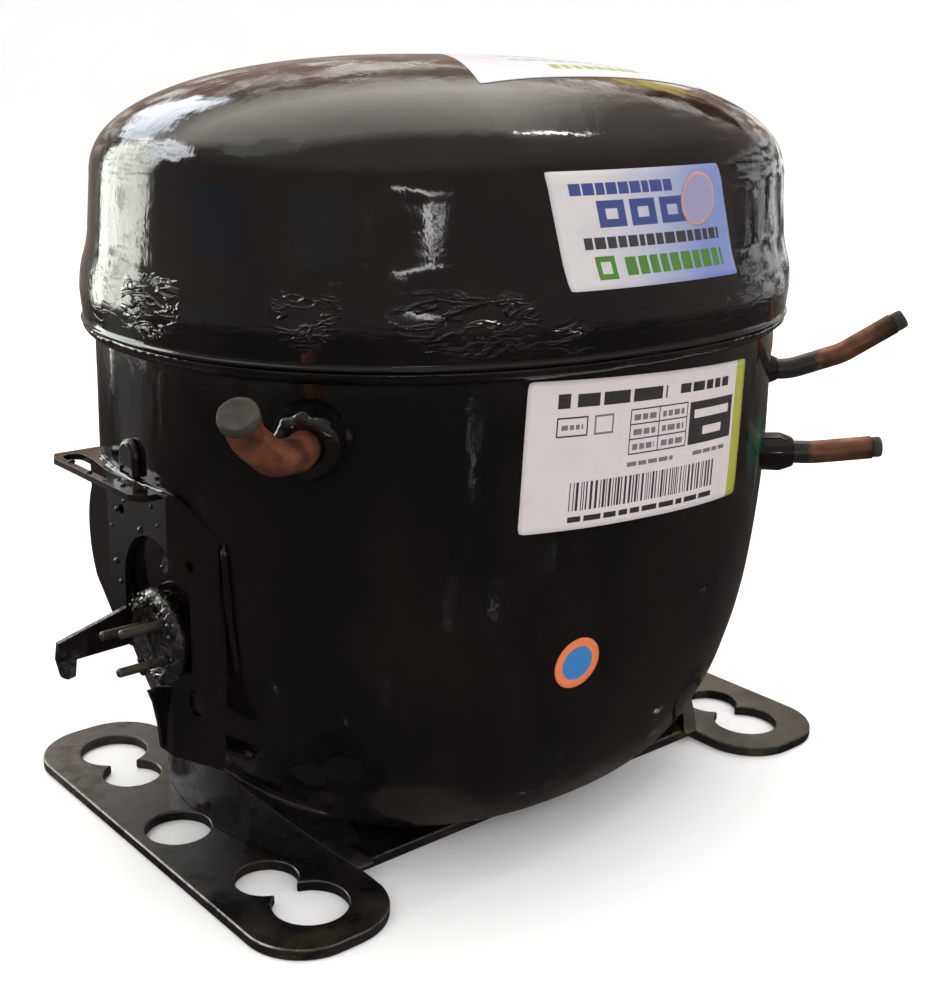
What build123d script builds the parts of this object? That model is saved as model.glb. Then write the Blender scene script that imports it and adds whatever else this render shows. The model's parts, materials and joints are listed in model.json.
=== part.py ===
from build123d import *
import os
from math import cos, pi, radians, sin, sqrt

os.makedirs("parts", exist_ok=True)

# ---------------------------------------------------------------------------------------
# Frame, in millimetres. +Z is up and z = 0 is the underside of the base plate.
# +X runs along the shell, from the terminal bracket to the line tubes. The labels face -Y.
# ---------------------------------------------------------------------------------------

# Shell
plan_power = 2.285        # exponent of the rounded-rectangle plan of the shell
plan_points = 24
shell_x = 97.4            # half-length of the lower shell at its mouth
shell_y = 78.2            # half-width there
wall = 3.0
floor_z = 6.0             # outside of the shell's floor
rim_z = 150.0             # top edge of the lower shell
skirt_z = 134.5           # bottom edge of the upper shell, which laps over the lower one
lap_top_z = 150.5         # top of the lap
lap_out = 3.4             # how far the lap stands outside the lower shell
upper_out = 0.9           # how far the upper wall stands outside the lower shell
shoulder_z = 171.9        # height at which the upper shell starts to close in
top_z = 203.4
cap_power = 2.31
draft = 0.069             # inward slope of the upper wall

# Height and inset of the lower shell's outside: (z, half-length, half-width)
lower_profile = [
    (floor_z, 62.0, 52.0), (7.5, 66.5, 56.0), (12.0, 72.5, 60.5), (19.0, 79.0, 65.0),
    (30.0, 86.0, 69.5), (40.0, 89.8, 72.2), (52.0, 93.2, 74.7), (68.0, 95.8, 76.6),
    (92.0, shell_x, shell_y), (rim_z, shell_x, shell_y),
]

# Base plate
plate_t = 3.0
foot_outer_x = 102.0
foot_inner_x = 64.0
foot_y = 69.0
foot_corner = 16.0
bridge_y = 44.0
metric_x, metric_y, metric_r = 85.0, 35.0, 8.0           # 170 x 70 grommet holes
inch_x, inch_y, inch_r = 82.55, 50.8, 9.5                # 165.1 x 101.6 grommet holes
strap_x, strap_r = 89.9, 8.6
cradle_top_z = 20.0
cradle_half_y = 50.0
cradle_x, cradle_y = 82.0, 68.0

# Line tubes and their collars
corner_x, corner_y = 80.5, 49.5                          # where they leave the shell
corner_nx, corner_ny = 0.743, 0.669                      # outward direction there
suction_z, suction_r = 90.5, 3.4
discharge_z, discharge_r = 115.5, 3.0
process_z, process_r = 118.5, 4.0
tube_wall = 0.8
plug_gap = 0.1
plug_stem = 3.0
loop_r, loop_wall = 2.1, 0.6                             # discharge tube inside the shell
muffler_t = 2.0
lead_r = 1.3

# Terminal and its bracket
terminal_y, terminal_z = -9.6, 62.7
terminal_r = 12.0
pin_circle_r, pin_r, pin_root_r = 6.2, 1.15, 1.35
pin_tip_x, pin_root_x, pin_end_x = -111.5, -99.9, -84.0
terminal_turns = (10, 130, 250)                          # where the pins sit on their circle
sheet_t = 1.6
bracket_x = -98.6                                        # middle of the bracket sheet
bracket_top_z = 100.0
leg_z = 33.0                                             # lower end of the bracket's leg
ledge_out_x = -105.0
window_y, window_z, window_r = -8.0, 74.0, 14.0          # opening above the terminal
# The folds of the sheet as (x, y), and its outline seen from the end as (y, z)
bracket_folds = [(-92.6, -30.5), (bracket_x, -16), (bracket_x, 14), (-95.6, 31)]
bracket_front = [(6, 50), (6, 56), (14, 62), (26, 68)]
bracket_arc = [(26, 68), (31, 79), (27.5, 92)]
bracket_back = [(27.5, 92), (27.5, bracket_top_z), (-18, bracket_top_z), (-30, 91), (-30, 58),
                (-29, leg_z), (-10, leg_z), (-10, 50), (6, 50)]
leg_outline = [(-10, leg_z), (-29, leg_z), (-29, 57), (-22, 57), (-10, 52)]
ledge_outline = [(-90, -12), (-103, -12), (ledge_out_x, -8), (ledge_out_x, 32), (-103, 36),
                 (-90, 36)]
# The clip hook and the stiffening edge of the leg, as (x, z)
hook_outline = [(-97.5, 66), (-118, 60.3), (-118.6, 56), (-117.4, 51), (-116.0, 50.2),
                (-113.9, 50.6), (-113.4, 55), (-97.5, 55.5)]
edge_outline = [(-97.9, 49.8), (-103.0, 49.6), (-101.7, 46), (-100.5, 40), (-99.9, 33.5),
                (-97.9, 33.5)]
earth_y, earth_z, earth_r = 3.0, 106.0, 4.2              # earth screw's boss above the ledge

# Compression: bore, stroke and rod
bore_r = 14.0
crank_throw = 9.0
rod_length = 42.0
running_gap = 0.05
piston_x = rod_length - crank_throw                      # wrist pin when the crank points to -X
crown_above_pin = 10.5
skirt_below_pin = 12.5
cylinder_z = 144.0
head_face_x = rod_length + crank_throw + crown_above_pin + 0.5

# Motor and crankshaft
stator_x, stator_y = 56.0, 52.0                          # half-length and half-width
stator_z0, stator_z1 = 54.0, 98.0
stator_bore_r = 31.0
rotor_r = 30.7
winding_r = 48.0                                         # outside of the end turns
slot_count = 24
slot_circle_r = 39.0
shaft_r = 8.0
hub_r = 14.0
web_z = 128.3
web_top_z = 135.0
crank_pin_z = 135.2
crank_pin_top_z = 152.0
crank_pin_r = 7.0
wrist_pin_r = 4.0
small_end_r, big_end_r = 6.9, 12.0
bolt_x, bolt_y = 47.0, 43.0
deck_z0, deck_z1 = 118.0, 128.0
sway_x, sway_r, sway_top_z = 38.0, 4.0, 188.0            # sway pin, over the cylinder block

# Suspension
spring_x, spring_y = 44.0, 35.0
spring_z0, spring_z1 = 19.0, 49.0
spring_r, wire_r = 7.0, 0.9
spring_turns = 7


# ---------------------------------------------------------------------------------------
# Shapes that repeat
# ---------------------------------------------------------------------------------------

def plan(z, half_x, half_y):
    """The shell's plan outline at one height, as a closed smooth curve filled in."""
    with BuildSketch(Plane.XY.offset(z)) as outline:
        with BuildLine():
            points = []
            for step in range(plan_points):
                turn = 2 * pi * (step + 0.5) / plan_points
                c, s = cos(turn), sin(turn)
                x = half_x * abs(c) ** (2 / plan_power) * (1 if c > 0 else -1)
                y = half_y * abs(s) ** (2 / plan_power) * (1 if s > 0 else -1)
                points.append((x, y))
            Spline(*points, periodic=True)
        make_face()
    return outline.sketch.faces()[0]


def disc(plane, radius, hollow=0.0):
    """A round face on any plane, with a hole through it if hollow is given."""
    with BuildSketch(plane) as face:
        Circle(radius)
        if hollow:
            Circle(hollow, mode=Mode.SUBTRACT)
    return face.sketch.faces()[0]


def stack(profile, grow=0.0, mode=Mode.ADD):
    """A solid with straight sides from each plan outline to the next, grown by grow."""
    outlines = [plan(z, half_x + grow, half_y + grow) for z, half_x, half_y in profile]
    loft(sections=outlines, ruled=True, mode=mode)


def upper_rings(inset=0.0):
    """The crown of the upper shell, from its wall to its top, inset evenly."""
    rings = []
    wall_x = shell_x + upper_out - draft * (shoulder_z - 158.0)
    wall_y = shell_y + upper_out - draft * (shoulder_z - 158.0)
    for share in (1.0, 0.985, 0.95, 0.89, 0.8, 0.68, 0.5, 0.25):
        rise = (1 - share ** cap_power) ** (1 / cap_power)
        z = shoulder_z + (top_z - shoulder_z - inset) * rise
        rings.append((z, (wall_x - inset) * share, (wall_y - inset) * share))
    return rings


def upper_outside():
    """Rings of the upper shell's outside, from its skirt over the lap to its top."""
    lap_x, lap_y = shell_x + lap_out, shell_y + lap_out
    wall_x, wall_y = shell_x + upper_out, shell_y + upper_out
    return [
        (skirt_z, lap_x - 0.3, lap_y - 0.3), (skirt_z + 3.0, lap_x, lap_y),
        (lap_top_z - 3.0, lap_x, lap_y), (lap_top_z + 1.0, lap_x - 0.7, lap_y - 0.7),
        (155.0, wall_x + 0.3, wall_y + 0.3), (159.0, wall_x, wall_y),
    ] + upper_rings()


def upper_inside():
    """Rings of its inside, which starts under the skirt so that the shell is open there."""
    lap_x, lap_y = shell_x + lap_out - wall, shell_y + lap_out - wall
    wall_x, wall_y = shell_x + upper_out - wall, shell_y + upper_out - wall
    return [
        (skirt_z - 1.0, lap_x, lap_y), (skirt_z + 3.0, lap_x, lap_y),
        (lap_top_z, lap_x, lap_y), (154.0, wall_x + 0.6, wall_y + 0.6),
        (159.0, wall_x, wall_y),
    ] + upper_rings(wall)


def block(x0, x1, y0, y1, z0, z1, mode=Mode.ADD):
    """A box between two values on each axis."""
    with Locations(((x0 + x1) / 2, (y0 + y1) / 2, (z0 + z1) / 2)):
        Box(x1 - x0, y1 - y0, z1 - z0, mode=mode)


def post(x, y, z0, z1, radius, mode=Mode.ADD):
    """An upright cylinder."""
    with Locations((x, y, (z0 + z1) / 2)):
        Cylinder(radius, z1 - z0, mode=mode)


def bar_x(x0, x1, y, z, radius, mode=Mode.ADD):
    """A cylinder that lies along X."""
    with Locations(Location(((x0 + x1) / 2, y, z), (0, 90, 0))):
        Cylinder(radius, x1 - x0, mode=mode)


def corners(half_x, half_y):
    """The four corners of a rectangle about the origin."""
    return [(sx * half_x, sy * half_y) for sx in (-1, 1) for sy in (-1, 1)]


def pin_places():
    """The terminal pins' axes, as (y, z)."""
    return [(terminal_y + pin_circle_r * cos(radians(turn)),
             terminal_z + pin_circle_r * sin(radians(turn))) for turn in terminal_turns]


def outward(side, distance, z):
    """A point on a line that leaves the shell squarely at its front corner."""
    return (side * (corner_x + corner_nx * distance), -(corner_y + corner_ny * distance), z)


def across(side, z, distance=0.0):
    """The plane square to that line, so that a tube or collar extrudes along it."""
    return Plane(outward(side, distance, z), x_dir=(0, 0, 1),
                 z_dir=(side * corner_nx, -corner_ny, 0))


def bent(points, bends):
    """Straight runs through the given points, joined by arcs of the given radii."""
    with BuildLine() as route:
        FilletPolyline(*points, radius=bends)
    return route.wires()[0]


def tube_along(points, bends, radius, thickness=tube_wall):
    """A drawn tube, or a solid lead if it has no thickness."""
    route = bent(points, bends)
    start = Plane(route @ 0, z_dir=route % 0)
    sweep(sections=disc(start, radius, radius - thickness if thickness else 0), path=route)


# ---------------------------------------------------------------------------------------
# Shells and base
# ---------------------------------------------------------------------------------------

with BuildPart() as lower_shell:
    stack(lower_profile)
    inner = [(z, hx - wall, hy - wall) for z, hx, hy in lower_profile[2:]]
    inner = [(floor_z + wall, 64.0, 53.0)] + inner
    inner[-1] = (rim_z + 1.0, shell_x - wall, shell_y - wall)
    stack(inner, mode=Mode.SUBTRACT)
    # Holes for the two line tubes, the process tube and the terminal
    for side, z, radius in ((1, suction_z, suction_r + 0.1), (1, discharge_z, discharge_r + 0.1)):
        extrude(disc(across(side, z, -10), radius), amount=20, mode=Mode.SUBTRACT)
    extrude(disc(across(-1, process_z, -10), process_r + 0.1), amount=20, mode=Mode.SUBTRACT)
    bar_x(-105, -85, terminal_y, terminal_z, terminal_r - 1.0, Mode.SUBTRACT)

with BuildPart() as upper_shell:
    stack(upper_outside())
    stack(upper_inside(), mode=Mode.SUBTRACT)

with BuildPart() as weld_seam:
    seam_top = skirt_z - 0.1
    stack([
        (seam_top - 3.3, shell_x + 0.4, shell_y + 0.4),
        (seam_top - 2.0, shell_x + 1.6, shell_y + 1.6),
        (seam_top, shell_x + 3.0, shell_y + 3.0),
    ])
    stack([(seam_top - 6, shell_x, shell_y), (seam_top + 1, shell_x, shell_y)], 0.05,
          mode=Mode.SUBTRACT)

with BuildPart() as base_plate:
    with BuildSketch():
        Rectangle(2 * foot_inner_x + 12, 2 * bridge_y)
        for side in (-1, 1):
            with Locations((side * (foot_inner_x + foot_outer_x) / 2, 0)):
                RectangleRounded(foot_outer_x - foot_inner_x, 2 * foot_y, foot_corner)
        for sx, sy in corners(1, 1):
            with Locations((sx * metric_x, sy * metric_y)):
                Circle(metric_r, mode=Mode.SUBTRACT)
            with Locations((sx * inch_x, sy * inch_y)):
                Circle(inch_r, mode=Mode.SUBTRACT)
        with Locations((-strap_x, 0), (strap_x, 0)):
            Circle(strap_r, mode=Mode.SUBTRACT)
    extrude(amount=plate_t)

with BuildPart() as shell_cradle:
    # Upright wall of the base plate that hugs each end of the shell
    stack([(plate_t + 0.02, cradle_x, cradle_y), (cradle_top_z, cradle_x - 1.0, cradle_y - 1.0)])
    stack([(z, hx, hy) for z, hx, hy in lower_profile[:5]], 0.1, mode=Mode.SUBTRACT)
    stack([(0.0, cradle_x - 4.0, cradle_y - 4.0), (floor_z + 1.0, cradle_x - 4.0, cradle_y - 4.0)],
          mode=Mode.SUBTRACT)
    block(-60, 60, -90, 90, 0, 40, Mode.SUBTRACT)
    arch_r = (cradle_half_y ** 2 + cradle_top_z ** 2) / (2 * cradle_top_z)
    bar_x(-110, 110, 0, cradle_top_z - arch_r, arch_r, Mode.INTERSECT)
    post(strap_x, 0, 0, 6, strap_r + 0.2, Mode.SUBTRACT)
    post(-strap_x, 0, 0, 6, strap_r + 0.2, Mode.SUBTRACT)


# ---------------------------------------------------------------------------------------
# Terminal bracket and terminal
# ---------------------------------------------------------------------------------------

with BuildPart() as terminal_bracket:
    # Sheet folded in plan, then trimmed to its outline seen from the end
    with BuildSketch(Plane.XY.offset(leg_z)):
        with BuildLine():
            fold = Polyline(*bracket_folds)
            offset(fold, amount=sheet_t / 2)
        make_face()
    extrude(amount=bracket_top_z - leg_z)
    with BuildSketch(Plane.YZ.offset(-110)):
        with BuildLine():
            Polyline(*bracket_front)
            ThreePointArc(*bracket_arc)
            Polyline(*bracket_back)
        make_face()
        with Locations((window_y, window_z)):
            Circle(window_r, mode=Mode.SUBTRACT)
        with Locations((window_y, 58)):
            Rectangle(2 * window_r, 32, mode=Mode.SUBTRACT)
        with BuildLine():
            Polyline(*leg_outline, close=True)
        make_face()
        with Locations((terminal_y, terminal_z)):
            Circle(terminal_r + 0.5, mode=Mode.SUBTRACT)
        with Locations((-23, 49)):
            SlotOverall(7, 4, rotation=90, mode=Mode.SUBTRACT)
        with Locations((6.5, 91.5), (-22, 84)):
            Circle(1.4, mode=Mode.SUBTRACT)
    extrude(amount=30, mode=Mode.INTERSECT)
    # Slotted ledge folded out at the top
    with BuildSketch(Plane.XY.offset(bracket_top_z - sheet_t)):
        with BuildLine():
            Polyline(*ledge_outline, close=True)
        make_face()
        with Locations((-100.2, 19)):
            SlotOverall(28, 5.4, rotation=90, mode=Mode.SUBTRACT)
    extrude(amount=sheet_t)
    # Hook that holds the terminal cover's clip
    with BuildSketch(Plane.XZ.offset(-6 - sheet_t)):
        with BuildLine():
            Polyline(*hook_outline, close=True)
        make_face()
    extrude(amount=sheet_t)
    # Stiffening edge of the lower leg
    with BuildSketch(Plane.XZ.offset(10)):
        with BuildLine():
            Polyline(*edge_outline, close=True)
        make_face()
    extrude(amount=sheet_t)
    stack(lower_profile, 0.1, mode=Mode.SUBTRACT)

with BuildPart() as earth_boss:
    bar_x(-99.6, -94, earth_y, earth_z, earth_r)
    block(-99.6, -94, earth_y - earth_r, earth_y + earth_r, 101.2, earth_z)
    fillet(earth_boss.edges().filter_by(GeomType.CIRCLE).group_by(Axis.X)[0], 1.2)
    stack(lower_profile[7:], 0.1, mode=Mode.SUBTRACT)

with BuildPart() as terminal_body:
    bar_x(-101.0, -91.0, terminal_y, terminal_z, terminal_r - 1.1)
    bar_x(-101.0, -97.0, terminal_y, terminal_z, terminal_r)
    fillet(terminal_body.edges().filter_by(GeomType.CIRCLE).group_by(Axis.X)[0], 2.5)
    bar_x(-102.0, -98.5, terminal_y, terminal_z, terminal_r - 2.6, Mode.SUBTRACT)
    for y, z in pin_places():
        bar_x(-110.0, -88.0, y, z, 2.45, Mode.SUBTRACT)

with BuildPart() as terminal_glass:
    for y, z in pin_places():
        bar_x(-99.4, -91.0, y, z, 2.4)
        bar_x(-100.0, -90.0, y, z, pin_root_r + 0.02, Mode.SUBTRACT)

with BuildPart() as terminal_pins:
    for y, z in pin_places():
        bar_x(pin_tip_x, pin_root_x, y, z, pin_r)
        bar_x(pin_root_x, pin_end_x, y, z, pin_root_r)
    tips = terminal_pins.edges().filter_by(GeomType.CIRCLE).group_by(Axis.X)[0]
    fillet(tips, 0.7)


# ---------------------------------------------------------------------------------------
# Line tubes, collars and shipping plugs
# ---------------------------------------------------------------------------------------

def collar(side, z, base_r, tip_r, length, bore):
    """A turned collar that seats square on the shell and carries one tube."""
    chamfer_z = length * 0.65
    extrude(disc(across(side, z, -4), base_r), amount=4 + chamfer_z)
    loft(sections=[disc(across(side, z, chamfer_z), base_r), disc(across(side, z, length), tip_r)])
    extrude(disc(across(side, z, -6), bore), amount=8 + length, mode=Mode.SUBTRACT)
    stack(lower_profile[5:], 0.05, mode=Mode.SUBTRACT)


suction_path = [outward(1, d, suction_z + rise) for d, rise in ((-12, 0), (16, 0), (33, 2.0))]
suction_bends = 40
discharge_path = [outward(1, d, discharge_z + rise) for d, rise in
                  ((-12, 0), (7, 0), (22, 5.2), (36, 14.2))]
discharge_bends = 18
process_path = [outward(-1, -10, process_z), outward(-1, 13, process_z),
                (-99.0, -62.0, 119.5), (-106.0, -63.5, 125.5), (-109.5, -66.3, 130.3)]
process_bends = 9

with BuildPart() as suction_collar:
    collar(1, suction_z, 5.7, 4.4, 10.0, suction_r + 0.05)

with BuildPart() as suction_tube:
    tube_along(suction_path, suction_bends, suction_r)

with BuildPart() as discharge_collar:
    collar(1, discharge_z, 4.6, 3.4, 3.4, discharge_r + 0.05)

with BuildPart() as discharge_tube:
    tube_along(discharge_path, discharge_bends, discharge_r)

with BuildPart() as process_collar:
    collar(-1, process_z, 8.6, 6.4, 8.0, process_r + 0.05)

with BuildPart() as process_tube:
    tube_along(process_path, process_bends, process_r)


def plug(path, bends, tube_r, head_r, head_t):
    """A rubber shipping plug: a stem inside the tube and a head over its end."""
    route = bent(path, bends)
    end, heading = route @ 1, route % 1
    extrude(disc(Plane(end + heading * plug_gap, z_dir=heading), head_r), amount=head_t)
    stem_r = tube_r - tube_wall - plug_gap
    extrude(disc(Plane(end + heading, z_dir=-heading), stem_r), amount=1 + plug_stem)


with BuildPart() as suction_plug:
    plug(suction_path, suction_bends, suction_r, suction_r - 0.4, 3.0)

with BuildPart() as discharge_plug:
    plug(discharge_path, discharge_bends, discharge_r, discharge_r - 0.3, 3.5)

with BuildPart() as process_plug:
    plug(process_path, process_bends, process_r, process_r + 0.5, 2.4)


# ---------------------------------------------------------------------------------------
# Labels
# ---------------------------------------------------------------------------------------

label_x, label_z = 0.5, 110.7                            # middle of the rating label
label_length, label_height, label_tilt = 78.5, 36.5, 2.5
dot_x, dot_z, dot_r = -18.5, 57.0, 7.0                   # round sticker low on the front
film_gap, film_out = 0.05, 0.25                          # a film's underside and its face
# Corners of the two stickers on the upper shell, as (x, z) and as (x, y)
service_corners = [(-35.4, 177.6), (20.2, 178.2), (28.3, 151.0), (-29.6, 151.0)]
crown_corners = [(-33.4, -49.9), (46.9, -47.1), (60.0, -8.0), (-11.4, -8.7)]

with BuildPart() as rating_label:
    stack(lower_profile[6:], film_out)
    stack(lower_profile[6:], film_gap, mode=Mode.SUBTRACT)
    with Locations(Location((label_x, -75, label_z), (0, label_tilt, 0))):
        Box(label_length, 40, label_height, mode=Mode.INTERSECT)

with BuildPart() as service_sticker:
    stack(upper_outside()[2:], film_out)
    stack(upper_outside()[2:], film_gap, mode=Mode.SUBTRACT)
    with BuildSketch(Plane.XZ.offset(40)):
        with BuildLine():
            Polyline(*service_corners, close=True)
        make_face()
    extrude(amount=60, mode=Mode.INTERSECT)

with BuildPart() as crown_sticker:
    # The film follows the crown, so it is the crown's top raised and cut to an outline
    stack([(z + film_out, hx, hy) for z, hx, hy in upper_outside()[5:]])
    stack([(z + film_gap, hx, hy) for z, hx, hy in upper_outside()[4:]], mode=Mode.SUBTRACT)
    with BuildSketch(Plane.XY.offset(180)):
        with BuildLine():
            Polyline(*crown_corners, close=True)
        make_face()
    extrude(amount=40, mode=Mode.INTERSECT)

with BuildPart() as round_sticker:
    stack(lower_profile[3:8], film_out)
    stack(lower_profile[3:8], film_gap, mode=Mode.SUBTRACT)
    with Locations(Location((dot_x, -75, dot_z), (90, 0, 0))):
        Cylinder(dot_r, 40, mode=Mode.INTERSECT)


# ---------------------------------------------------------------------------------------
# Crankcase, cylinder and valves (they hang on the springs as one block)
# ---------------------------------------------------------------------------------------

block_half = 21.0                 # half-width of the cylinder block
block_x0 = 24.0
screw_at = 15.5                   # head screws from the bore axis
reed_t = 0.25
gasket_t = 0.5
plate_x0 = head_face_x + gasket_t
valve_plate_t = 3.0
plate_x1 = plate_x0 + valve_plate_t
head_gasket_t = 0.6
head_x0 = plate_x1 + head_gasket_t
head_t = 13.0
port_y = 6.5                      # suction port and reed, this far to each side of the axis
suction_port_r = 4.2
discharge_port_r = 2.6
discharge_port_y, discharge_port_z = port_y + 2.5, cylinder_z + 8.0
screw_clear_r = 2.6
# The two chambers of the head, as (y0, y1, z0, z1)
chambers = [(-12, -1.5, cylinder_z - 11, cylinder_z + 11), (1.5, 14, cylinder_z - 11, cylinder_z + 13)]

# Mufflers: the moulded one beside the block and the pressed pot behind it
box_x, box_y, box_length, box_width, box_corner, box_height = 45.0, -42.0, 34.0, 26.0, 9.0, 42.0
box_z = deck_z1 + 0.3
neck_y, neck_z, neck_r = -31.0, 150.0, 4.0
pot_x, pot_y, pot_r, pot_top_z = 36.0, 42.0, 15.0, 158.0
loop_port_z = 144.0

with BuildPart() as crankcase:
    with BuildSketch(Plane.XY.offset(deck_z0)):
        RectangleRounded(2 * bolt_x + 14, 2 * bolt_y + 14, 9)
        with Locations((-30, 30), (-30, -30), (2, 36), (2, -36)):
            Circle(9, mode=Mode.SUBTRACT)
    extrude(amount=deck_z1 - deck_z0)
    for x, y in corners(bolt_x, bolt_y):
        post(x, y, stator_z1 + 0.05, deck_z0, 7)
    post(0, 0, 76, deck_z1 - 0.1, hub_r)
    block(block_x0, head_face_x, -block_half, block_half, deck_z1 - 5, cylinder_z + block_half)
    bar_x(block_x0 - 1, head_face_x + 1, 0, cylinder_z, bore_r, Mode.SUBTRACT)
    post(0, 0, 70, deck_z1 + 5, shaft_r + running_gap, Mode.SUBTRACT)
    for y, z in corners(screw_at, screw_at):
        bar_x(head_face_x - 14, head_face_x + 1, y, cylinder_z + z, 2.5, Mode.SUBTRACT)
    for x, y in corners(bolt_x, bolt_y):
        post(x, y, stator_z1 - 1, deck_z0 - 2, 3.05, Mode.SUBTRACT)
    # Boss for the sway pin on top of the cylinder block
    post(sway_x, 0, cylinder_z + block_half - 1, cylinder_z + block_half + 4, 9)
    post(sway_x, 0, cylinder_z + block_half - 6, cylinder_z + block_half + 5, sway_r,
         Mode.SUBTRACT)

with BuildPart() as sway_pin:
    post(sway_x, 0, cylinder_z + block_half - 5.9, sway_top_z, sway_r - running_gap)

with BuildPart() as sway_cup:
    # Cup under the crown of the upper shell that limits how far the block can sway
    post(sway_x, 0, sway_top_z - 8, 199, 11)
    post(sway_x, 0, sway_top_z - 9, 194, 8, Mode.SUBTRACT)
    stack(upper_inside()[4:], -0.1, mode=Mode.INTERSECT)

with BuildPart() as valve_gasket:
    block(head_face_x + 0.01, plate_x0, -block_half, block_half, cylinder_z - block_half,
          cylinder_z + block_half)
    bar_x(head_face_x - 1, plate_x0 + 1, 0, cylinder_z, bore_r + 0.6, Mode.SUBTRACT)
    for y, z in corners(screw_at, screw_at):
        bar_x(head_face_x - 1, plate_x0 + 1, y, cylinder_z + z, screw_clear_r + 0.1,
              Mode.SUBTRACT)

with BuildPart() as suction_reed:
    with BuildSketch(Plane.YZ.offset(plate_x0 - reed_t - 0.01)):
        with Locations((0, cylinder_z)):
            Rectangle(18, 9)
        with Locations((-port_y, cylinder_z)):
            Circle(suction_port_r + 1.2)
        with BuildLine():
            Polyline((9, cylinder_z - 4.5), (11, cylinder_z - 7), (11, cylinder_z + 7),
                     (9, cylinder_z + 4.5), close=True)
        make_face()
    extrude(amount=reed_t)

with BuildPart() as valve_plate:
    block(plate_x0, plate_x1, -block_half, block_half, cylinder_z - block_half,
          cylinder_z + block_half)
    bar_x(plate_x0 - 1, plate_x1 + 1, -port_y, cylinder_z, suction_port_r, Mode.SUBTRACT)
    bar_x(plate_x0 - 1, plate_x1 + 1, discharge_port_y, discharge_port_z, discharge_port_r,
          Mode.SUBTRACT)
    for y, z in corners(screw_at, screw_at):
        bar_x(plate_x0 - 1, plate_x1 + 1, y, cylinder_z + z, screw_clear_r, Mode.SUBTRACT)

with BuildPart() as discharge_reed:
    with BuildSketch(Plane.YZ.offset(plate_x1 + 0.01)):
        with Locations((discharge_port_y, cylinder_z + 2)):
            Rectangle(5, 16)
        with Locations((discharge_port_y, discharge_port_z)):
            Circle(discharge_port_r + 1.0)
    extrude(amount=reed_t)

with BuildPart() as head_gasket:
    block(plate_x1 + 0.01, head_x0, -block_half, block_half, cylinder_z - block_half,
          cylinder_z + block_half)
    for chamber in chambers:
        block(plate_x1 - 1, head_x0 + 1, *chamber, Mode.SUBTRACT)
    for y, z in corners(screw_at, screw_at):
        bar_x(plate_x1 - 1, head_x0 + 1, y, cylinder_z + z, screw_clear_r + 0.1,
              Mode.SUBTRACT)

with BuildPart() as cylinder_head:
    block(head_x0 + 0.01, head_x0 + head_t, -block_half, block_half, cylinder_z - block_half,
          cylinder_z + block_half)
    fillet(cylinder_head.edges().filter_by(Axis.X), 4)
    for chamber in chambers:
        block(head_x0 - 1, head_x0 + 9, *chamber, Mode.SUBTRACT)
    for y, z in corners(screw_at, screw_at):
        bar_x(head_x0 - 1, head_x0 + head_t + 1, y, cylinder_z + z, screw_clear_r, Mode.SUBTRACT)

with BuildPart() as head_screws:
    for y, z in corners(screw_at, screw_at):
        bar_x(head_face_x - 12, head_x0 + head_t + 1, y, cylinder_z + z, 2.4)
        bar_x(head_x0 + head_t + 0.01, head_x0 + head_t + 3.5, y, cylinder_z + z, 4.2)

with BuildPart() as piston:
    bar_x(piston_x - skirt_below_pin, piston_x + crown_above_pin, 0, cylinder_z,
          bore_r - running_gap)
    bar_x(piston_x - skirt_below_pin - 1, piston_x + small_end_r + 0.4, 0, cylinder_z, 10.6,
          Mode.SUBTRACT)
    post(piston_x, 0, cylinder_z - 20, cylinder_z + 20, wrist_pin_r, Mode.SUBTRACT)

with BuildPart() as wrist_pin:
    post(piston_x, 0, cylinder_z - 12.5, cylinder_z + 12.5, wrist_pin_r - 0.01)
    post(piston_x, 0, cylinder_z - 13, cylinder_z + 13, 2.2, Mode.SUBTRACT)

with BuildPart() as connecting_rod:
    post(piston_x, 0, cylinder_z - 5, cylinder_z + 5, small_end_r)
    post(-crank_throw, 0, cylinder_z - 6, cylinder_z + 6, big_end_r)
    block(-crank_throw, piston_x, -4, 4, cylinder_z - 3.5, cylinder_z + 3.5)
    post(piston_x, 0, cylinder_z - 20, cylinder_z + 20, wrist_pin_r + running_gap, Mode.SUBTRACT)
    post(-crank_throw, 0, cylinder_z - 20, cylinder_z + 20, crank_pin_r + running_gap,
         Mode.SUBTRACT)

with BuildPart() as crank_pin:
    post(-crank_throw, 0, crank_pin_z, crank_pin_top_z, crank_pin_r)
    chamfer(crank_pin.edges().group_by(Axis.Z)[-1], 0.8)

with BuildPart() as crankshaft:
    post(0, 0, 50, web_z, shaft_r)
    post(0, 0, web_z, web_z + 2.2, 12.5)
    with BuildSketch(Plane.XY.offset(web_z + 2.2)):
        Circle(11)
        with Locations((-crank_throw, 0)):
            Circle(9)
        make_hull()
    extrude(amount=web_top_z - web_z - 2.2)
    post(0, 0, 49, 62, 5.0, Mode.SUBTRACT)
    post(-3, 0, 61, web_top_z + 1, 1.6, Mode.SUBTRACT)

with BuildPart() as counterweight:
    with BuildSketch(Plane.XY.offset(web_z + 2.3)):
        Circle(19.5)
        with Locations((-20, 0)):
            Rectangle(44, 60, mode=Mode.SUBTRACT)
        Circle(11.2, mode=Mode.SUBTRACT)
    extrude(amount=web_top_z - web_z - 2.6)

with BuildPart() as thrust_washer:
    post(0, 0, deck_z1 + 0.02, web_z - 0.05, 12.5)
    post(0, 0, deck_z1 - 1, web_z + 1, shaft_r + 0.1, Mode.SUBTRACT)

with BuildPart() as oil_pickup:
    post(0, 0, 46, 61.5, 4.95)
    with BuildSketch(Plane.XY.offset(46)):
        Circle(4.95)
    with BuildSketch(Plane.XY.offset(22)):
        Circle(2.8)
    loft()
    post(0, 0, 21, 62, 1.8, Mode.SUBTRACT)


# ---------------------------------------------------------------------------------------
# Motor
# ---------------------------------------------------------------------------------------

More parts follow.
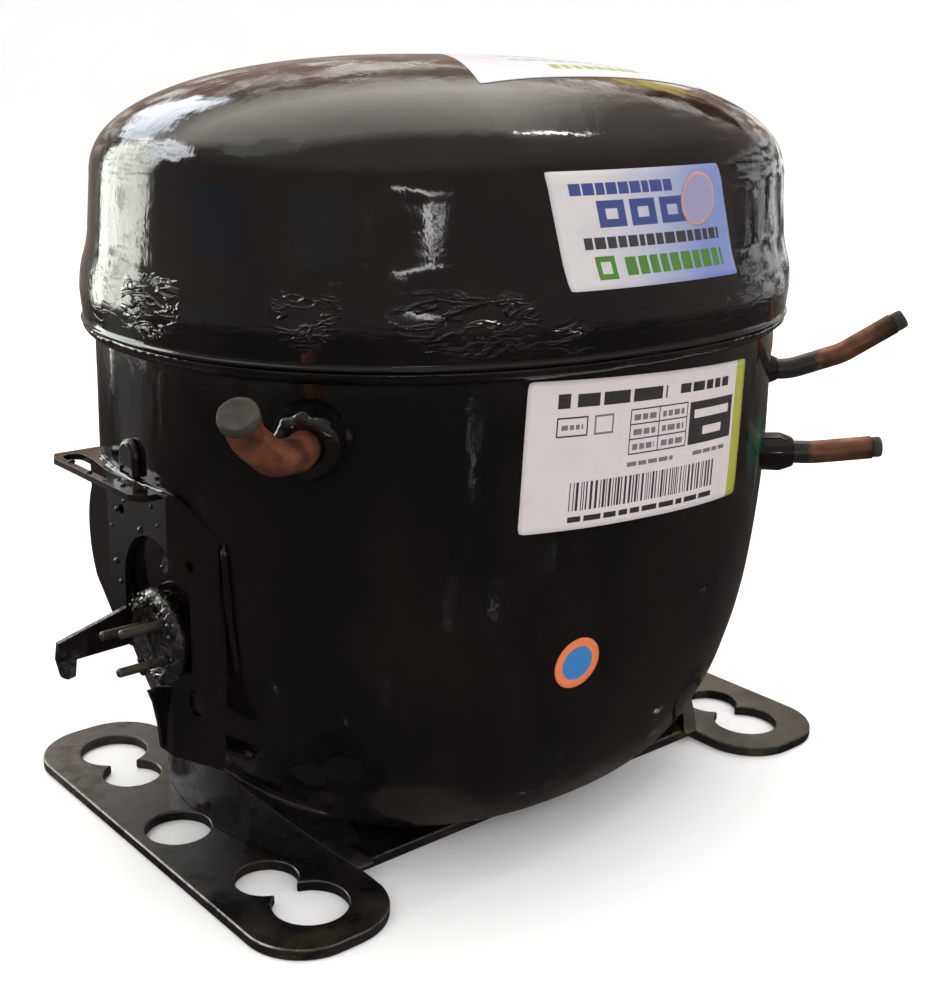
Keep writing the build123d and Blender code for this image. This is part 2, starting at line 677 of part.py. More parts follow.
with BuildPart() as rotor_core:
    post(0, 0, stator_z0, stator_z1, rotor_r)
    post(0, 0, stator_z0 - 1, stator_z1 + 1, shaft_r + 0.02, Mode.SUBTRACT)
    post(0, 0, 74, stator_z1 + 1, hub_r + 1.2, Mode.SUBTRACT)

with BuildPart() as rotor_rings:
    for z0, z1 in ((stator_z0 - 5, stator_z0 - 0.05), (stator_z1 + 0.05, stator_z1 + 5)):
        post(0, 0, z0, z1, rotor_r - 1)
        post(0, 0, z0 - 1, z1 + 1, 20, Mode.SUBTRACT)

with BuildPart() as stator_core:
    with BuildSketch(Plane.XY.offset(stator_z0)):
        Rectangle(2 * stator_x, 2 * stator_y)
        chamfer(vertices(), 12)
        Circle(stator_bore_r, mode=Mode.SUBTRACT)
        with PolarLocations(slot_circle_r, slot_count):
            Rectangle(14, 5.5, mode=Mode.SUBTRACT)
        for x, y in corners(bolt_x, bolt_y):
            with Locations((x, y)):
                Circle(3.1, mode=Mode.SUBTRACT)
    extrude(amount=stator_z1 - stator_z0)

with BuildPart() as stator_winding:
    # Rounded bundles of end turns above and below the stack, joined through its slots
    for z0, z1 in ((stator_z0 - 12, stator_z0 - 0.3), (stator_z1 + 0.3, stator_z1 + 13)):
        with BuildSketch(Plane.XZ):
            with Locations((winding_r - 7.5, (z0 + z1) / 2)):
                RectangleRounded(15, z1 - z0, 4.5)
        revolve(axis=Axis.Z)
    with BuildSketch(Plane.XY.offset(stator_z0 - 2)):
        with PolarLocations(slot_circle_r, slot_count):
            Rectangle(13.2, 4.7)
    extrude(amount=stator_z1 - stator_z0 + 4)

with BuildPart() as stator_bolts:
    for x, y in corners(bolt_x, bolt_y):
        post(x, y, stator_z0 - 0.05, deck_z0 - 6, 2.95)
        post(x, y, stator_z0 - 4.5, stator_z0 - 0.05, 5.2)


# ---------------------------------------------------------------------------------------
# Suspension
# ---------------------------------------------------------------------------------------

with BuildPart() as spring_studs:
    # Lower seats welded in the floor of the shell
    for x, y in corners(spring_x, spring_y):
        post(x, y, floor_z + 1, spring_z0, 9)
        post(x, y, spring_z0, spring_z0 + 7, spring_r - wire_r - 0.4)
    stack([(z, hx - wall - 0.1, hy - wall - 0.1) for z, hx, hy in
           [(floor_z + wall + 0.1, 66.9, 55.9)] + lower_profile[2:6]], mode=Mode.INTERSECT)

with BuildPart() as spring_pads:
    # Upper seats, clipped under the stator at its corners
    for x, y in corners(spring_x, spring_y):
        post(x, y, spring_z1 + 0.05, stator_z0 - 0.1, 8.0)
        post(x, y, spring_z1 - 6, spring_z1 + 0.05, spring_r - wire_r - 0.4)
    for x, y in corners(bolt_x, bolt_y):
        post(x, y, spring_z1 - 8, stator_z0 + 1, 5.3, Mode.SUBTRACT)

with BuildPart() as suspension_springs:
    pitch = (spring_z1 - spring_z0 - 2 * wire_r) / spring_turns
    for x, y in corners(spring_x, spring_y):
        with Locations((x, y, spring_z0 + wire_r)):
            with BuildLine(mode=Mode.PRIVATE) as coil:
                Helix(pitch, pitch * spring_turns, spring_r)
            with BuildSketch(Plane(coil.line @ 0, z_dir=coil.line % 0), mode=Mode.PRIVATE) as wire:
                Circle(wire_r)
            add(sweep(wire.sketch, path=coil.line, is_frenet=True, mode=Mode.PRIVATE))


# ---------------------------------------------------------------------------------------
# Mufflers, discharge loop and leads
# ---------------------------------------------------------------------------------------

with BuildPart() as suction_muffler:
    # Moulded chamber that breathes in through a slot low on its outer side
    with BuildSketch(Plane.XY.offset(box_z)):
        with Locations((box_x, box_y)):
            RectangleRounded(box_length, box_width, box_corner)
    extrude(amount=box_height)
    fillet(suction_muffler.edges().group_by(Axis.Z)[-1], 4)
    fillet(suction_muffler.edges().group_by(Axis.Z)[0], 4)
    bar_x(box_x + 15, head_x0 + 6, neck_y, neck_z, neck_r)
    block(head_x0 + 1, head_x0 + 10, -34, -block_half - 0.1, neck_z - 5, neck_z + 5)
    with BuildSketch(Plane.XY.offset(box_z + muffler_t)):
        with Locations((box_x, box_y)):
            RectangleRounded(box_length - 2 * muffler_t, box_width - 2 * muffler_t,
                             box_corner - muffler_t)
    extrude(amount=box_height - 2 * muffler_t, mode=Mode.SUBTRACT)
    bar_x(box_x + 13, head_x0 + 4, neck_y, neck_z, neck_r - 1.4, Mode.SUBTRACT)
    block(box_x - 6, box_x + 6, box_y - 18, box_y - 8, 134, 138, Mode.SUBTRACT)

with BuildPart() as discharge_muffler:
    # Pressed pot with a port from the head and a stub hole for the discharge loop
    post(pot_x, pot_y, deck_z1 + 0.05, pot_top_z, pot_r)
    fillet(discharge_muffler.edges().group_by(Axis.Z)[-1], 6)
    block(pot_x + 10, pot_x + 22, block_half + 0.1, pot_y - 6, loop_port_z - 4, loop_port_z + 6)
    post(pot_x, pot_y, deck_z1 + muffler_t, pot_top_z - muffler_t, pot_r - muffler_t, Mode.SUBTRACT)
    extrude(disc(Plane((pot_x, pot_y + 18, loop_port_z), z_dir=(0, -1, 0)), loop_r - loop_wall),
            amount=10, mode=Mode.SUBTRACT)

with BuildPart() as discharge_loop:
    # From the discharge tube once round the block, climbing, to the discharge muffler
    tube_along([outward(1, -9, discharge_z), outward(1, -19, discharge_z), (52, -61, 114),
                (10, -69, 118), (-50, -60, 124), (-82, -6, 130), (-56, 52, 134),
                (-8, 66, 139), (pot_x, 66, loop_port_z), (pot_x, pot_y + 15.2, loop_port_z)],
               (6, 14, 20, 20, 20, 20, 14, 6), loop_r, loop_wall)

with BuildPart() as lead_connector:
    block(-87, -77, terminal_y - 10, terminal_y + 10, terminal_z - 9, terminal_z + 10)
    fillet(lead_connector.edges().filter_by(Axis.X), 3)
    for y, z in pin_places():
        bar_x(-90, pin_end_x + 1, y, z, pin_root_r + 0.05, Mode.SUBTRACT)

with BuildPart() as motor_leads:
    for spread in (-5.0, 0.0, 5.0):
        y = terminal_y + spread
        winding_x = -sqrt((winding_r + 1.5) ** 2 - y ** 2)
        tube_along([(-76.95, y, terminal_z), (-68, y, terminal_z), (-66, y, 108),
                    (winding_x, y, 105)], (5, 5), lead_r, 0)


# ---------------------------------------------------------------------------------------
# Write every piece
# ---------------------------------------------------------------------------------------

pieces = {
    "lower_shell": lower_shell, "upper_shell": upper_shell, "weld_seam": weld_seam,
    "base_plate": base_plate, "shell_cradle": shell_cradle,
    "terminal_bracket": terminal_bracket, "earth_boss": earth_boss,
    "terminal_body": terminal_body, "terminal_glass": terminal_glass,
    "terminal_pins": terminal_pins,
    "suction_collar": suction_collar, "suction_tube": suction_tube,
    "suction_plug": suction_plug, "discharge_collar": discharge_collar,
    "discharge_tube": discharge_tube, "discharge_plug": discharge_plug,
    "process_collar": process_collar, "process_tube": process_tube,
    "process_plug": process_plug,
    "rating_label": rating_label, "service_sticker": service_sticker,
    "round_sticker": round_sticker, "crown_sticker": crown_sticker,
    "crankcase": crankcase, "sway_pin": sway_pin, "sway_cup": sway_cup,
    "valve_gasket": valve_gasket, "suction_reed": suction_reed, "valve_plate": valve_plate,
    "discharge_reed": discharge_reed, "head_gasket": head_gasket,
    "cylinder_head": cylinder_head, "head_screws": head_screws,
    "piston": piston, "wrist_pin": wrist_pin, "connecting_rod": connecting_rod,
    "crank_pin": crank_pin, "crankshaft": crankshaft, "counterweight": counterweight,
    "thrust_washer": thrust_washer, "oil_pickup": oil_pickup,
    "rotor_core": rotor_core, "rotor_rings": rotor_rings, "stator_core": stator_core,
    "stator_winding": stator_winding,
    "stator_bolts": stator_bolts, "spring_studs": spring_studs, "spring_pads": spring_pads,
    "suspension_springs": suspension_springs,
    "suction_muffler": suction_muffler, "discharge_muffler": discharge_muffler,
    "discharge_loop": discharge_loop, "lead_connector": lead_connector,
    "motor_leads": motor_leads,
}
for name, piece in pieces.items():
    piece.part.label = name
    export_step(piece.part, f"parts/{name}.step")
    size = piece.part.bounding_box().size
    print(f"{name:20s} solids {len(piece.part.solids()):2d}  volume {piece.part.volume:10.1f}"
          f"  box {size.X:6.1f} {size.Y:6.1f} {size.Z:6.1f}")
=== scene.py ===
"""Looks of a hermetic compressor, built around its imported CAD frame. Metres, row frame."""
import json
import math
import random

import bmesh
import bpy
import numpy as np
from mathutils import Matrix, Vector, noise


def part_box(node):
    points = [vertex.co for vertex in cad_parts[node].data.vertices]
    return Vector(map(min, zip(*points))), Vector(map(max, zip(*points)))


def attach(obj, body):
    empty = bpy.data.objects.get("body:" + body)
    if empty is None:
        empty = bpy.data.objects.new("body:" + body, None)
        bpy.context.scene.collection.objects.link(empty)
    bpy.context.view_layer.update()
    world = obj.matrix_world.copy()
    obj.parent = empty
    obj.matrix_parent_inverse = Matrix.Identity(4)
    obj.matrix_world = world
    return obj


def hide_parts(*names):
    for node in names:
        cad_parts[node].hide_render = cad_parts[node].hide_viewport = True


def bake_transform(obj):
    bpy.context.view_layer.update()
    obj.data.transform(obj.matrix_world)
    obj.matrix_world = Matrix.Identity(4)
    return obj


MM = 0.001
HOUSING = "housing"

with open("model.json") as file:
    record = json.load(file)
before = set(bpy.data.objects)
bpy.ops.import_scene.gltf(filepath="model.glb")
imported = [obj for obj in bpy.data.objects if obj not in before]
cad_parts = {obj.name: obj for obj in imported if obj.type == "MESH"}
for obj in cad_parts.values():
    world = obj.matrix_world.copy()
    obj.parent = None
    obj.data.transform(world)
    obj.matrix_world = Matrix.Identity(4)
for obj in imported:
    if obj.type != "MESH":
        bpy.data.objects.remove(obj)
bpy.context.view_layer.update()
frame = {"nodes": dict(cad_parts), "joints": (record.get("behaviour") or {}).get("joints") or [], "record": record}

# ---- Driving sizes, from the frame ----

PLAN_POWER = 2.285                       # exponent of the rounded-rectangle plan
AROUND = 480                             # points round the shell
WALL = 3.0 * MM
lower_low, lower_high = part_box("lower_shell")
upper_low, upper_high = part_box("upper_shell")
SHELL_X, SHELL_Y = lower_high.x, lower_high.y
FLOOR_Z = lower_low.z
SKIRT_Z, TOP_Z = upper_low.z, upper_high.z
LAP_OUT = upper_high.x - SHELL_X
SHOULDER_Z = TOP_Z - 31.5 * MM
CAP_POWER = 2.31
UPPER_OUT = 0.9 * MM                     # upper wall outside the lower wall
DRAFT = 0.069                            # inward slope of the upper wall
DRAFT_FROM = 23.5 * MM                   # above the skirt's lip, where that slope starts

# Lower shell: height in mm, then how far its outline lies inside the mouth along X and Y
LOWER_PROFILE = [
    (6.0, 35.4, 26.2), (7.5, 30.9, 22.2), (12.0, 24.9, 17.7), (19.0, 18.4, 13.2),
    (30.0, 11.4, 8.7), (40.0, 7.6, 6.0), (52.0, 4.2, 3.5), (68.0, 1.6, 1.6),
    (92.0, 0.0, 0.0), (120.0, 0.0, 0.0), (150.0, 0.0, 0.0),
]
# Lap of the upper shell: height in mm above the skirt's lip, share of LAP_OUT
LAP_PROFILE = [
    (0.0, 0.6), (0.25, 0.9), (0.6, 1.0), (0.95, 0.985), (1.35, 0.88), (2.1, 0.855), (5.0, 0.93),
    (8.2, 1.0), (10.8, 0.97), (12.8, 0.91), (14.5, 0.83), (16.0, 0.73), (17.6, 0.59), (19.6, 0.44),
    (22.0, 0.31),
]

# Where the line tubes leave the shell, and the direction that they leave in
CORNER = Vector((80.5, -49.5, 0)) * MM
LEAVING = Vector((0.743, -0.669, 0)).normalized()
SUCTION_Z, DISCHARGE_Z, PROCESS_Z = 90.5 * MM, 115.5 * MM, 118.5 * MM

# Films: thickness in mm, and how far their faces lie above the enamel
FILM_THICK, DISC_THICK = 0.12, 0.1
FILM_LIFT, DISC_LIFT = 0.16 * MM, 0.26 * MM

random.seed(11)


# ---- Outline of the shell ----

def smooth(points, steps):
    """A Catmull-Rom curve through points, with steps spans between each two."""
    knots = [Vector(p) for p in points]
    knots = [2 * knots[0] - knots[1]] + knots + [2 * knots[-1] - knots[-2]]
    curve = []
    for a, b, c, d in zip(knots, knots[1:], knots[2:], knots[3:]):
        for step in range(steps):
            t = step / steps
            curve.append(0.5 * (2 * b + (c - a) * t + (2 * a - 5 * b + 4 * c - d) * t ** 2
                                + (3 * b - a - 3 * c + d) * t ** 3))
    return curve + [knots[-2]]


def plan_point(turn):
    """Point of the plan at an angle, as shares of the half-length and the half-width."""
    c, s = math.cos(turn), math.sin(turn)
    return (math.copysign(abs(c) ** (2 / PLAN_POWER), c),
            math.copysign(abs(s) ** (2 / PLAN_POWER), s))


def plan_reach(value, half_value, half_other):
    """How far the plan reaches across, at a value along its other axis."""
    return half_other * (1 - min(abs(value) / half_value, 1.0) ** PLAN_POWER) ** (1 / PLAN_POWER)


def lower_rings():
    """Outside of the lower shell as (z, half-length, half-width), bottom to rim."""
    return [(z * MM, SHELL_X - inset_x * MM, SHELL_Y - inset_y * MM)
            for z, inset_x, inset_y in smooth(LOWER_PROFILE, 11)]


def upper_wall(z, grow=0.0):
    """Half-length and half-width of the upper shell's plain wall at height z."""
    out = UPPER_OUT - DRAFT * max(z - SKIRT_Z - DRAFT_FROM, 0.0) + grow
    return SHELL_X + out, SHELL_Y + out


def crown_rings(steps, inset=0.0):
    """The closed top, from the shoulder to near its middle."""
    half_x, half_y = upper_wall(SHOULDER_Z)
    rings = []
    for step in range(steps):
        turn = math.pi / 2 * step / steps
        share = math.cos(turn) ** (2 / CAP_POWER)
        rise = math.sin(turn) ** (2 / CAP_POWER)
        rings.append((SHOULDER_Z + (TOP_Z - SHOULDER_Z - inset) * rise,
                      (half_x - inset) * share, (half_y - inset) * share))
    return rings


def upper_rings():
    """Outside of the upper shell, from the skirt's lip to near the crown's middle."""
    rings = [(SKIRT_Z + height * MM, SHELL_X + share * LAP_OUT, SHELL_Y + share * LAP_OUT)
             for height, share in smooth(LAP_PROFILE, 3)]
    z = rings[-1][0] + 1.2 * MM
    while z < SHOULDER_Z - 0.4 * MM:
        rings.append((z, *upper_wall(z)))
        z += 1.2 * MM
    return rings + crown_rings(78)


LOWER = lower_rings()
UPPER = upper_rings()


def outline(z, rings):
    """Half-length and half-width of a shell at height z."""
    heights = [r[0] for r in rings]
    return (float(np.interp(z, heights, [r[1] for r in rings])),
            float(np.interp(z, heights, [r[2] for r in rings])))


def relief(p, rings):
    """How far the thick enamel stands above the plain shell at point p, in metres."""
    slow = noise.noise(Vector((p.x, p.y, p.z * 0.7)) * 26)
    fine = noise.noise(p * 85 + Vector((3, 7, 1)))
    height = 0.10 * slow + 0.03 * fine
    if rings is UPPER:
        above = (p.z - SKIRT_Z) / MM
        band = math.exp(-((above - 8.5) / 6.0) ** 4)
        ripple = 1 - 2 * abs(noise.noise(Vector((p.x, p.y, p.z * 1.6)) * 70))
        patch = max(0.0, noise.noise(p * 17 + Vector((0, 5, 9))) + 0.12)
        height += 0.34 * band * ripple * patch
    return height * MM


def normal_at(x, y, z, rings):
    """Outward direction of the shell's wall at a point on it."""
    half_x, half_y = outline(z, rings)
    lower_x, _ = outline(z - 1 * MM, rings)
    upper_x, _ = outline(z + 1 * MM, rings)
    slope = (lower_x - upper_x) / (2 * MM)
    across = Vector((math.copysign(abs(x / half_x) ** (PLAN_POWER - 1) / half_x, x),
                     math.copysign(abs(y / half_y) ** (PLAN_POWER - 1) / half_y, y), 0))
    across.normalize()
    return Vector((across.x, across.y, slope)).normalized()


def front_point(x, z, rings, lift):
    """Point on the front of a shell, lift above its enamel."""
    half_x, half_y = outline(z, rings)
    y = -plan_reach(x, half_x, half_y)
    p = Vector((x, y, z))
    return p + normal_at(x, y, z, rings) * (relief(p, rings) + lift)


def crown_point(x, y, lift):
    """Point on the crown, lift above its enamel."""
    half_x, half_y = upper_wall(SHOULDER_Z)
    share = (abs(x / half_x) ** PLAN_POWER + abs(y / half_y) ** PLAN_POWER) ** (1 / PLAN_POWER)
    z = SHOULDER_Z + (TOP_Z - SHOULDER_Z) * (1 - min(share, 1) ** CAP_POWER) ** (1 / CAP_POWER)
    p = Vector((x, y, z))
    return p + normal_at(x, y, z, UPPER) * (relief(p, UPPER) + lift)


# ---- Meshes ----

def new_object(name, data):
    obj = bpy.data.objects.new(name, data)
    bpy.context.scene.collection.objects.link(obj)
    return obj


def add_mesh(name, points, faces, materials, indices=None, body=HOUSING):
    """A new piece that rides on a body."""
    mesh = bpy.data.meshes.new(name)
    mesh.from_pydata([tuple(p) for p in points], [], faces)
    for material in materials:
        mesh.materials.append(material)
    if indices:
        mesh.polygons.foreach_set("material_index", indices)
    bm = bmesh.new()
    bm.from_mesh(mesh)
    bmesh.ops.recalc_face_normals(bm, faces=bm.faces)
    bm.to_mesh(mesh)
    bm.free()
    mesh.polygons.foreach_set("use_smooth", [True] * len(mesh.polygons))
    obj = new_object(name, mesh)
    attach(obj, body)
    return obj


def circle(around):
    """Cosine and sine at even steps round a circle."""
    turns = (2 * math.pi * j / around for j in range(around))
    return [(math.cos(t), math.sin(t)) for t in turns]


def ring_faces(rings, around, closed):
    """Quads between rings of points, and from the last ring to the first where closed."""
    faces = []
    for i in range(rings - 1 + closed):
        a, b = i * around, ((i + 1) % rings) * around
        for j in range(around):
            k = (j + 1) % around
            faces.append((a + j, a + k, b + k, b + j))
    return faces


def capped(points, faces, around):
    """Adds an end point to each end of an open run of rings."""
    first = sum(points[:around], Vector()) / around
    last = sum(points[-around:], Vector()) / around
    start, end, base = len(points), len(points) + 1, len(points) - around
    for j in range(around):
        k = (j + 1) % around
        faces.append((start, k, j))
        faces.append((end, base + j, base + k))
    return points + [first, last], faces


def disc_faces(rings, around):
    """Faces of a disc: a middle point, then rings of points about it."""
    faces = [(0, 1 + j, 1 + (j + 1) % around) for j in range(around)]
    for a, b, c, d in ring_faces(rings, around, False):
        faces.append((1 + a, 1 + d, 1 + c, 1 + b))
    return faces


def thicken(obj, thickness):
    """Gives a sheet a thickness in mm, under its face."""
    body = obj.modifiers.new("thickness", "SOLIDIFY")
    body.thickness = thickness * MM
    body.offset = -1


def shell_skin(name, outside, inside, rings, material, runs=()):
    """One closed shell: its outside with enamel relief, then its inside back to the start."""
    shape = [plan_point(2 * math.pi * j / AROUND) for j in range(AROUND)]
    points = []
    for z, half_x, half_y in outside:
        for c, s in shape:
            p = Vector((half_x * c, half_y * s, z))
            n = normal_at(p.x, p.y, z, rings)
            points.append(p + n * (relief(p, rings) + run_height(p, runs)))
    for z, half_x, half_y in inside:
        points += [Vector((half_x * c, half_y * s, z)) for c, s in shape]
    faces = ring_faces(len(outside) + len(inside), AROUND, False)
    return add_mesh(name, *capped(points, faces, AROUND), [material])


def run_height(p, runs):
    """Height of paint runs at p: narrow ridges that end in a thicker drop."""
    height = 0.0
    for x, y, top, length, width, thick in runs:
        if not top - length - 2 * width < p.z < top + 2 * width:
            continue
        aside = math.hypot(p.x - x, p.y - y)
        if aside > 3 * width:
            continue
        down = (top - p.z) / length
        swell = 0.55 + 0.45 * min(max(down, 0), 1)
        tail = min(1.0, max(0.0, (1.0 - down) * length / width + 0.6))
        lead = min(1.0, max(0.0, down * length / width + 1.0))
        height += thick * swell * tail * lead * math.exp(-(aside / (width * (0.6 + swell / 2))) ** 2)
    return height


def lathe(name, origin, axis, profile, material, body=HOUSING, around=56, closed=False,
          rough=0.0, seed=0):
    """A turned piece. Profile is (distance along the axis, radius) in mm."""
    turn = axis.normalized().to_track_quat("Z", "Y")
    points = []
    for along, radius in profile:
        for c, s in circle(around):
            p = Vector((c * radius, s * radius, along))
            uneven = noise.noise(p * 0.35 + Vector((seed, 0, 0)))
            uneven += 0.4 * noise.noise(p * 1.1 + Vector((0, seed, 0)))
            p *= 1 + rough * uneven / max(radius, 1.5)
            points.append(origin + turn @ (p * MM))
    faces = ring_faces(len(profile), around, closed)
    if not closed:
        points, faces = capped(points, faces, around)
    return add_mesh(name, points, faces, [material], body=body)


def bead(name, route, radius, material, seed=0, lumps=0.35, around=14):
    """A hand-laid weld or paint bead along a route."""
    spline = smooth(route, 8)
    points = []
    for i, p in enumerate(spline):
        ahead = spline[min(i + 1, len(spline) - 1)] - spline[max(i - 1, 0)]
        turn = ahead.to_track_quat("Z", "Y")
        end = min(i, len(spline) - 1 - i)
        size = radius * min(1.0, 0.35 + 0.3 * end)
        size *= 1 + lumps * noise.noise(p * 300 + Vector((seed, 0, 0)))
        points += [p + turn @ Vector((c * size, s * size, 0)) for c, s in circle(around)]
    faces = ring_faces(len(spline), around, False)
    add_mesh(name, *capped(points, faces, around), [material])


def film_corners(node, up):
    """The four corners of a CAD film seen square on, with up as the picture's upward axis."""
    flat = [Vector((v.co.x, v.co[up])) for v in frame["nodes"][node].data.vertices]
    return [max(flat, key=lambda p: sx * p.x + sy * p.y)
            for sx, sy in ((-1, -1), (1, -1), (1, 1), (-1, 1))]


def film(name, node, up, lay, half_u, half_v, prints, materials, step=1.6, rounding=1.2):
    """A thin printed film over a CAD film, laid on the shell by lay(x, y or z). Prints are
    rectangles (u0, u1, v0, v1, material number) in mm, and later ones lie over earlier ones."""
    near_left, near_right, far_right, far_left = film_corners(node, up)

    def place(u, v):
        across, rise = 0.5 + u / (2 * half_u), 0.5 + v / (2 * half_v)
        p = near_left.lerp(near_right, across).lerp(far_left.lerp(far_right, across), rise)
        return lay(p.x, p.y)

    def cuts(half, edges):
        count = math.ceil(2 * half / step)
        found = {round(-half + 2 * half * i / count, 3) for i in range(count + 1)}
        return sorted(found | {round(e, 3) for e in edges if abs(e) < half})

    us = cuts(half_u, [e for p in prints for e in p[:2]])
    vs = cuts(half_v, [e for p in prints for e in p[2:4]])
    points = []
    for v in vs:
        for u in us:
            # Rounded corners: pull the grid in near each corner
            over_u, over_v = abs(u) - half_u + rounding, abs(v) - half_v + rounding
            pull = 1.0
            if over_u > 0 and over_v > 0:
                pull = min(1.0, rounding / math.hypot(over_u, over_v))
            uu = u if pull == 1 else math.copysign(half_u - rounding + over_u * pull, u)
            vv = v if pull == 1 else math.copysign(half_v - rounding + over_v * pull, v)
            points.append(place(uu, vv))
    faces, indices = [], []
    for i in range(len(vs) - 1):
        for j in range(len(us) - 1):
            a = i * len(us) + j
            faces.append((a, a + 1, a + 1 + len(us), a + len(us)))
            u, v = (us[j] + us[j + 1]) / 2, (vs[i] + vs[i + 1]) / 2
            index = 0
            for u0, u1, v0, v1, ink in prints:
                if u0 < u < u1 and v0 < v < v1:
                    index = ink
            indices.append(index)
    obj = add_mesh(name, points, faces, materials, indices)
    thicken(obj, FILM_THICK)
    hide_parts(node)
    return obj, place


def soften(node, width, segments=2, angle=32, planar=True):
    """Rounds the sharp edges of a CAD node with modifiers, leaving its own mesh alone."""
    obj = frame["nodes"][node]
    weld = obj.modifiers.new("weld", "WELD")
    weld.merge_threshold = 0.002 * MM
    if planar:
        flat = obj.modifiers.new("flat", "DECIMATE")
        flat.decimate_type = "DISSOLVE"
        flat.angle_limit = math.radians(1.0)
    bevel = obj.modifiers.new("bevel", "BEVEL")
    bevel.width = width * MM
    bevel.segments = segments
    bevel.limit_method = "ANGLE"
    bevel.angle_limit = math.radians(angle)
    obj.data.polygons.foreach_set("use_smooth", [True] * len(obj.data.polygons))
    normals = obj.modifiers.new("normals", "WEIGHTED_NORMAL")
    normals.keep_sharp = True


# ---- Materials ----

class Graph:
    """A node tree, with short calls for the nodes that materials and the world share."""

    def __init__(self, tree, place):
        self.tree = tree
        self.place = tree.nodes.new("ShaderNodeTexCoord").outputs[place]

    def put(self, socket, value):
        """Links or sets a socket."""
        if isinstance(value, bpy.types.NodeSocket):
            self.tree.links.new(value, socket)
        elif isinstance(value, tuple) and len(value) == 3 and socket.type == "RGBA":
            socket.default_value = (*value, 1.0)
        else:
            socket.default_value = value

    def node(self, kind, inputs, **settings):
        """A new node with its settings, and its inputs by name or number."""
        node = self.tree.nodes.new("ShaderNode" + kind)
        for name, value in settings.items():
            setattr(node, name, value)
        for name, value in inputs.items():
            self.put(node.inputs[name], value)
        return node

    def calc(self, operation, a, b=0.0, clamp=False):
        return self.node("Math", {0: a, 1: b}, operation=operation, use_clamp=clamp).outputs[0]

    def times(self, *values):
        product = values[0]
        for value in values[1:]:
            product = self.calc("MULTIPLY", product, value)
        return product

    def stretched(self, stretch, shift=(0, 0, 0)):
        return self.node("Mapping", {"Scale": stretch, "Location": shift,
                                     "Vector": self.place}).outputs[0]

    def noise(self, scale, detail=3.0, stretch=(1, 1, 1), rough=0.55, shift=(0, 0, 0), warp=0.0):
        return self.node("TexNoise", {
            "Vector": self.stretched(stretch, shift), "Scale": scale, "Detail": detail,
            "Roughness": rough, "Distortion": warp}).outputs[0]

    def wave(self, scale, stretch=(1, 1, 1), warp=0.0):
        """Level bands."""
        return self.node("TexWave", {"Vector": self.stretched(stretch), "Scale": scale,
                                     "Distortion": warp}, bands_direction="Z").outputs["Fac"]

    def along(self, axis):
        return self.node("SeparateXYZ", {0: self.place}).outputs["XYZ".index(axis)]

    def facing(self, axis):
        """How much the surface faces along an axis of the row frame, from -1 to 1."""
        normal = self.node("NewGeometry", {}).outputs["Normal"]
        return self.node("SeparateXYZ", {0: normal}).outputs["XYZ".index(axis)]

    def near(self, centre, reach):
        """1 at a point in mm, falling to 0 at reach mm from it."""
        point = tuple(c * MM for c in centre)
        away = self.node("VectorMath", {0: self.place, 1: point}, operation="DISTANCE")
        return self.span(away.outputs["Value"], reach * MM, 0.0)

    def dot(self, direction):
        """The place's share along a direction."""
        return self.node("VectorMath", {0: self.place, 1: tuple(direction)},
                         operation="DOT_PRODUCT").outputs["Value"]

    def span(self, value, low, high, to_low=0.0, to_high=1.0):
        """Value rescaled so that low gives to_low and high gives to_high, held at the ends."""
        return self.node("MapRange", {0: value, 1: low, 2: high, 3: to_low,
                                      4: to_high}).outputs[0]

    def mix(self, share, a, b):
        """Colour a turned into colour b by share."""
        return self.node("Mix", {0: share, 6: a, 7: b}, data_type="RGBA").outputs[2]

    def blend(self, share, a, b):
        """Number a turned into number b by share."""
        return self.node("Mix", {0: share, 2: a, 3: b}).outputs[0]

    def bump(self, height, distance, under=None):
        """Raises the surface by height times distance in mm."""
        inputs = {"Strength": 1.0, "Distance": distance * MM, "Height": height}
        if under is not None:
            inputs["Normal"] = under
        return self.node("Bump", inputs).outputs[0]


class Finish(Graph):
    """One principled material."""

    def __init__(self, name, metallic=0.0, ior=1.45, coat=0.0, coat_roughness=0.03):
        self.material = bpy.data.materials.new(name)
        self.material.use_nodes = True
        super().__init__(self.material.node_tree, "Object")
        self.shader = self.tree.nodes["Principled BSDF"]
        for name, value in (("Metallic", metallic), ("IOR", ior), ("Coat Weight", coat),
                            ("Coat Roughness", coat_roughness)):
            self.shader.inputs[name].default_value = value

    def done(self, colour, roughness, normal=None):
        self.put(self.shader.inputs["Base Color"], colour)
        self.put(self.shader.inputs["Roughness"], roughness)
        if normal is not None:
            self.put(self.shader.inputs["Normal"], normal)
        return self.material


# Places in mm: a green smear beside the rating label, the ledge with a painted highlight, the
# dusty end of the left foot, and where thick paint wrinkles on the lap, each of these with its reach
SMEAR, SMEAR_REACH = (54, -68.5, 101), 10
LEDGE, LEDGE_REACH = (-102, 12, 101), 26
DUSTY_END, DUSTY_REACH = (-93, 56, 3), 48
WRINKLES = [(-59, -66, 149, 11), (-47, -71, 142, 13), (-81, -49, 147, 9), (-100, -12, 147, 12),
            (-30, -77, 139, 8), (96, -20, 146, 14), (60, 68, 144, 16), (-70, 58, 146, 14)]


